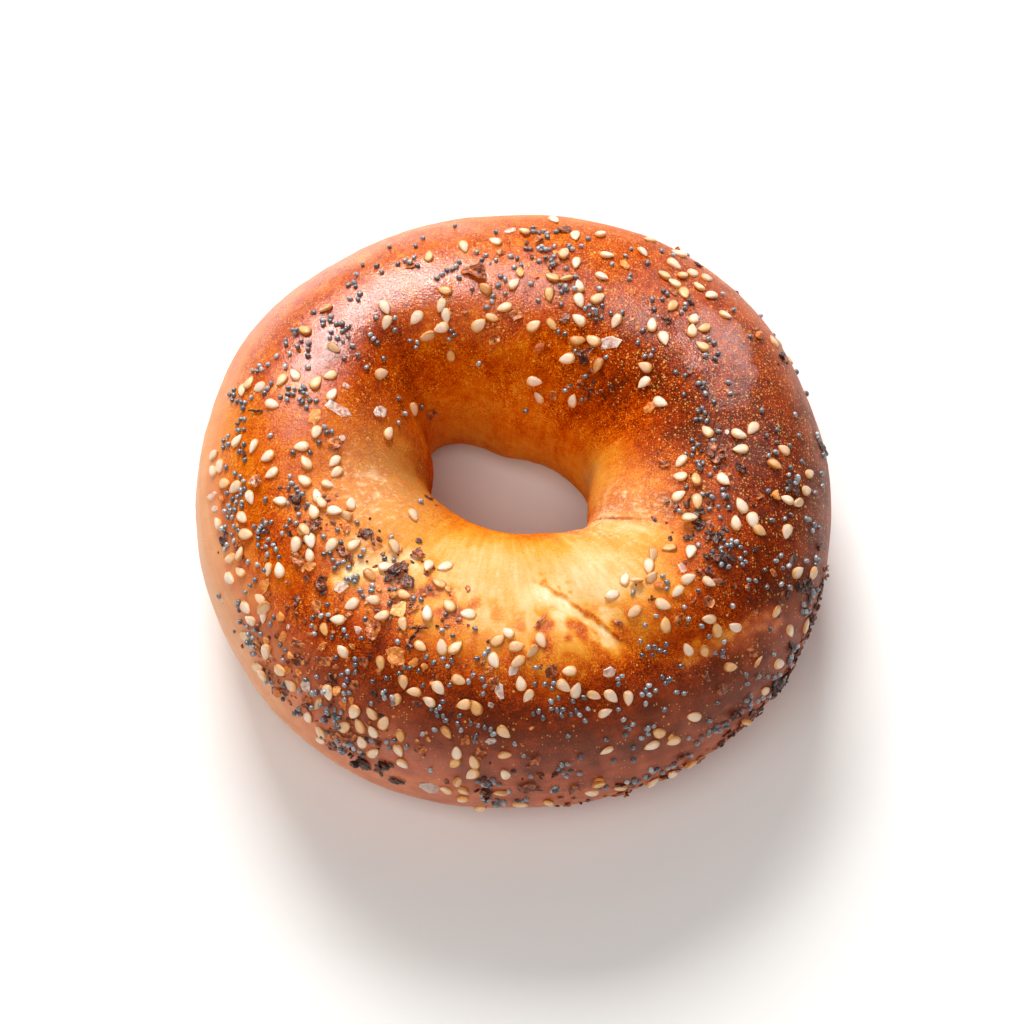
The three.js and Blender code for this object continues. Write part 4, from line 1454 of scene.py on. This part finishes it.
def lay_salt(rng):
    pile = Pile()
    for x, y, length, width in SALT:
        pile.lay(salt_flake(rng, length, width), spot_under_pixel(x, y), rng, sink=0.25)
    pile.piece("salt_flakes", salt_material(), "salt", smooth_faces=False)


def lay_sesame(rng):
    pile = Pile()
    for places in SESAME_FLAT.values():
        for x, y in places:
            tone = rng.beta(1.4, 4.0)
            pile.lay(sesame_seed(rng), spot_under_pixel(x, y), rng, roll=rng.normal(0, 0.16), tone=tone)
    for x, y in SESAME_ON_EDGE:
        roll = rng.choice([-1.0, 1.0]) * rng.uniform(0.6, 0.95)
        pile.lay(sesame_seed(rng), spot_under_pixel(x, y), rng, sink=0.30, roll=roll, tone=0.35)
    for x, y in SESAME_GOLDEN:
        pile.lay(sesame_seed(rng), spot_under_pixel(x, y), rng, tone=0.6)
    for x, y in SESAME_SUNK:
        pile.lay(sesame_seed(rng), spot_under_pixel(x, y), rng, sink=0.45, tone=0.15)
    for spot in hidden_spots(HIDDEN_SESAME, rng, 1.5):
        pile.lay(sesame_seed(rng), spot, rng, tone=rng.beta(1.3, 5.0))
    pile.piece("sesame_seeds", sesame_material(), "sesame")


POPPY_TRIES = 60
POPPY_STEP = 0.045  # millimetres that each try may stray farther from a cluster's middle
STACKED_FROM = 2  # seeds of a cluster beside each other before some are stacked on them
STACKED_CHANCE = 0.25


def lay_poppy_cluster(pile, rng, x, y, count):
    """Lays poppy seeds that touch each other round the crust point seen at a pixel."""
    middle, _ = spot_under_pixel(x, y)
    laid, tries = 0, 0
    while laid < count:
        place, normal = spot_near(middle + Vector(rng.normal(0.0, 1.0, 3)) * POPPY_STEP * tries)
        tries += 1
        stacked = laid > STACKED_FROM and rng.random() < STACKED_CHANCE
        if stacked or Pile.free(place, 0.5) or tries > POPPY_TRIES:
            pile.lay(poppy_seed(rng), (place, normal), rng, sink=0.18, tone=rng.beta(0.9, 1.2))
            laid += 1


def lay_poppy(rng):
    pile = Pile()
    for clusters in POPPY.values():
        for x, y, count in clusters:
            lay_poppy_cluster(pile, rng, x, y, count)
    for spot in hidden_spots(HIDDEN_POPPY, rng, 0.5):
        pile.lay(poppy_seed(rng), spot, rng, sink=0.18, tone=rng.random())
    pile.piece("poppy_seeds", poppy_material(), "poppy")


# --- materials of the toppings ------------------------------------------------------------

# Colours from the lightest shade to the darkest; the poppy seeds' and the salt's get lighter.
SESAME_STOPS = (
    (0.0, colour(247, 224, 204)),
    (0.3, colour(241, 200, 164)),
    (0.6, colour(234, 176, 106)),
    (1.0, colour(190, 112, 44)),
)
POPPY_TEAL_STOPS = (
    (0.0, colour(26, 26, 32)),
    (0.3, colour(76, 82, 88)),
    (0.65, colour(148, 156, 160)),
    (1.0, colour(214, 222, 222)),
)
POPPY_PLUM_STOPS = (
    (0.0, colour(40, 26, 32)),
    (0.4, colour(98, 82, 92)),
    (1.0, colour(196, 184, 190)),
)
ONION_STOPS = (
    (0.0, colour(240, 166, 84)),
    (0.3, colour(206, 112, 46)),
    (0.55, colour(150, 70, 26)),
    (0.75, colour(100, 42, 22)),
    (1.0, colour(48, 25, 19)),
)
GARLIC_STOPS = (
    (0.0, colour(250, 206, 130)),
    (0.4, colour(234, 148, 62)),
    (0.7, colour(206, 98, 26)),
    (1.0, colour(150, 58, 14)),
)
SALT_STOPS = ((0.0, colour(250, 220, 196)), (1.0, colour(255, 248, 240)))

POPPY_CELL = 0.26  # millimetres: the net of ridges on a poppy seed
TOPPING_BUMP = 0.6  # strength


def finish_surface(tree, shader, base, roughness, height, depth):
    """Links a colour and a bump, `depth` millimetres deep, and sets the roughness."""
    tree.links.new(base, shader.inputs["Base Color"])
    shader.inputs["Roughness"].default_value = roughness
    link_bump(tree, height, TOPPING_BUMP, depth, shader.inputs["Normal"])


def set_inputs(shader, values):
    for name, value in values.items():
        shader.inputs[name].default_value = value


def sesame_material():
    material, tree, shader = new_material("sesame")
    place = object_place(tree)
    shade = total(tree, attribute(tree, "tone"), mottle(tree, place, 0.7, 2.0, -0.10, 0.12))
    # Painted shade: each seed turns tan towards its outline.
    rim = rescale(tree, attribute(tree, "rim"), 0.60, 1.0, 0.0, 0.45)
    tip = rescale(tree, attribute(tree, "run"), 0.72, 1.0, 0.0, 0.35)
    base = ramp(tree, total(tree, shade, rim, tip), SESAME_STOPS)
    finish_surface(tree, shader, base, 0.42, mottle(tree, place, 0.35), 0.03)
    set_inputs(shader, {
        "Subsurface Weight": 0.15,
        "Subsurface Radius": (1.0, 0.6, 0.3),
        "Subsurface Scale": 0.6 * MM,
    })
    return material


def poppy_material():
    """Blue-grey to plum seeds with a fine net of ridges."""
    material, tree, shader = new_material("poppy")
    place = object_place(tree)
    inputs = {"Vector": place, "Scale": 1.0 / (POPPY_CELL * MM)}
    net = node(tree, "TexVoronoi", inputs, feature="DISTANCE_TO_EDGE")
    ridge = rescale(tree, net.outputs["Distance"], 0.0, 0.22, 1.0, 0.0)
    shade = total(tree, product(tree, attribute(tree, "tone"), 0.62), product(tree, ridge, 0.42))
    teal = ramp(tree, shade, POPPY_TEAL_STOPS)
    plum = ramp(tree, shade, POPPY_PLUM_STOPS)
    base = tint(tree, mottle(tree, place, 2.0, 1.0, -0.8, 1.4), teal, plum)
    finish_surface(tree, shader, base, 0.40, ridge, 0.05)
    set_inputs(shader, {"Coat Weight": 1.0, "Coat Roughness": 0.25, "Coat IOR": 1.8})
    return material


def chip_material(name, stops, grain, roughness, bumps):
    """Dried vegetable; grain is (size, strength) of its mottling, bumps (size, depth)."""
    material, tree, shader = new_material(name)
    place = object_place(tree)
    size, strength = grain
    shade = total(tree, attribute(tree, "tone"), mottle(tree, place, size, 3.0, -strength, strength))
    height = mottle(tree, place, bumps[0], 3.0)
    finish_surface(tree, shader, ramp(tree, shade, stops), roughness, height, bumps[1])
    return material


def salt_material():
    """Frosted rock salt, clear in places."""
    material, tree, shader = new_material("salt")
    frost = mottle(tree, object_place(tree), 0.6, 3.0, 0.0, 1.0)
    finish_surface(tree, shader, ramp(tree, frost, SALT_STOPS), 0.3, frost, 0.08)
    tree.links.new(rescale(tree, frost, 0.2, 0.8, 0.85, 0.35), shader.inputs["Transmission Weight"])
    set_inputs(shader, {"IOR": 1.54})
    return material


# Each kind has its own seed.  The order counts, since a bit may lie on those laid before it.
lay_onion(np.random.default_rng(21))
lay_garlic(np.random.default_rng(22))
lay_salt(np.random.default_rng(23))
lay_sesame(np.random.default_rng(24))
lay_poppy(np.random.default_rng(25))

# --- floor and light ----------------------------------------------------------------------

FLOOR_HALF_SIZE = 2.0  # metres
FLOOR_COLOUR = (0.9, 0.9, 0.9, 1)
STUDIO_GLOW = 0.16  # strength of the plain white surroundings

# Azimuth is in degrees from +X, distances and sizes are in metres and power is in watts.  A
# light without shine isn't mirrored in glossy things, and one without glow is only that.
LIGHTS = (
    dict(name="window", azimuth=100, elevation=40, distance=1.3, size=(0.6, 0.45), power=21.5,
         tinge=(1.0, 0.98, 0.95), shine=False),
    dict(name="window_shine", azimuth=110, elevation=55, distance=1.3, size=(0.9, 0.30), power=29.0,
         tinge=(1.0, 0.98, 0.96), tilt=-50.0, glow=False),
    dict(name="window_right", azimuth=53, elevation=26, distance=1.3, size=(0.4, 0.3), power=5.6,
         tinge=(0.95, 0.97, 1.0), glow=False),
    dict(name="fill", azimuth=248, elevation=62, distance=1.6, size=(1.4, 1.2), power=14.5,
         tinge=(1.0, 0.95, 0.9), shine=False),
)


def make_floor():
    size = FLOOR_HALF_SIZE
    mesh = bpy.data.meshes.new("floor")
    corners = [(-size, -size, 0), (size, -size, 0), (size, size, 0), (-size, size, 0)]
    mesh.from_pydata(corners, [], [(0, 1, 2, 3)])
    floor = add_object("floor", mesh)
    paint, _, shader = new_material("floor")
    set_inputs(shader, {"Base Color": FLOOR_COLOUR, "Roughness": 0.8})
    mesh.materials.append(paint)
    floor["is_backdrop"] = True


def soft_light(name, azimuth, elevation, distance, size, power, tinge, tilt=0.0, shine=True, glow=True):
    """An area light aimed at the bagel."""
    data = bpy.data.lights.new(name, "AREA")
    data.shape = "RECTANGLE"
    data.size, data.size_y = size
    data.energy = power
    data.color = tinge
    lamp = bpy.data.objects.new(name, data)
    swing, lift = math.radians(azimuth), math.radians(elevation)
    out = Vector((math.cos(swing) * math.cos(lift), math.sin(swing) * math.cos(lift), math.sin(lift)))
    turn = out.to_track_quat("Z", "Y").to_matrix().to_4x4() @ Matrix.Rotation(math.radians(tilt), 4, "Z")
    lamp.matrix_world = Matrix.Translation(out * distance) @ turn
    lamp.visible_glossy = shine
    lamp.visible_diffuse = glow
    bpy.context.scene.collection.objects.link(lamp)


def make_surroundings():
    world = bpy.data.worlds.new("studio")
    world.use_nodes = True
    set_inputs(world.node_tree.nodes["Background"], {"Color": (1.0, 1.0, 1.0, 1), "Strength": STUDIO_GLOW})
    bpy.context.scene.world = world
    bpy.context.scene.view_settings.view_transform = "Standard"


make_floor()
for light in LIGHTS:
    soft_light(**light)
make_surroundings()

# --- sizes of the CAD parts and of the finished scene -------------------------------------

boxes = {"cad": CAD_BOX, "visual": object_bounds()}
{name: [list(corner) for corner in box] for name, box in boxes.items()}
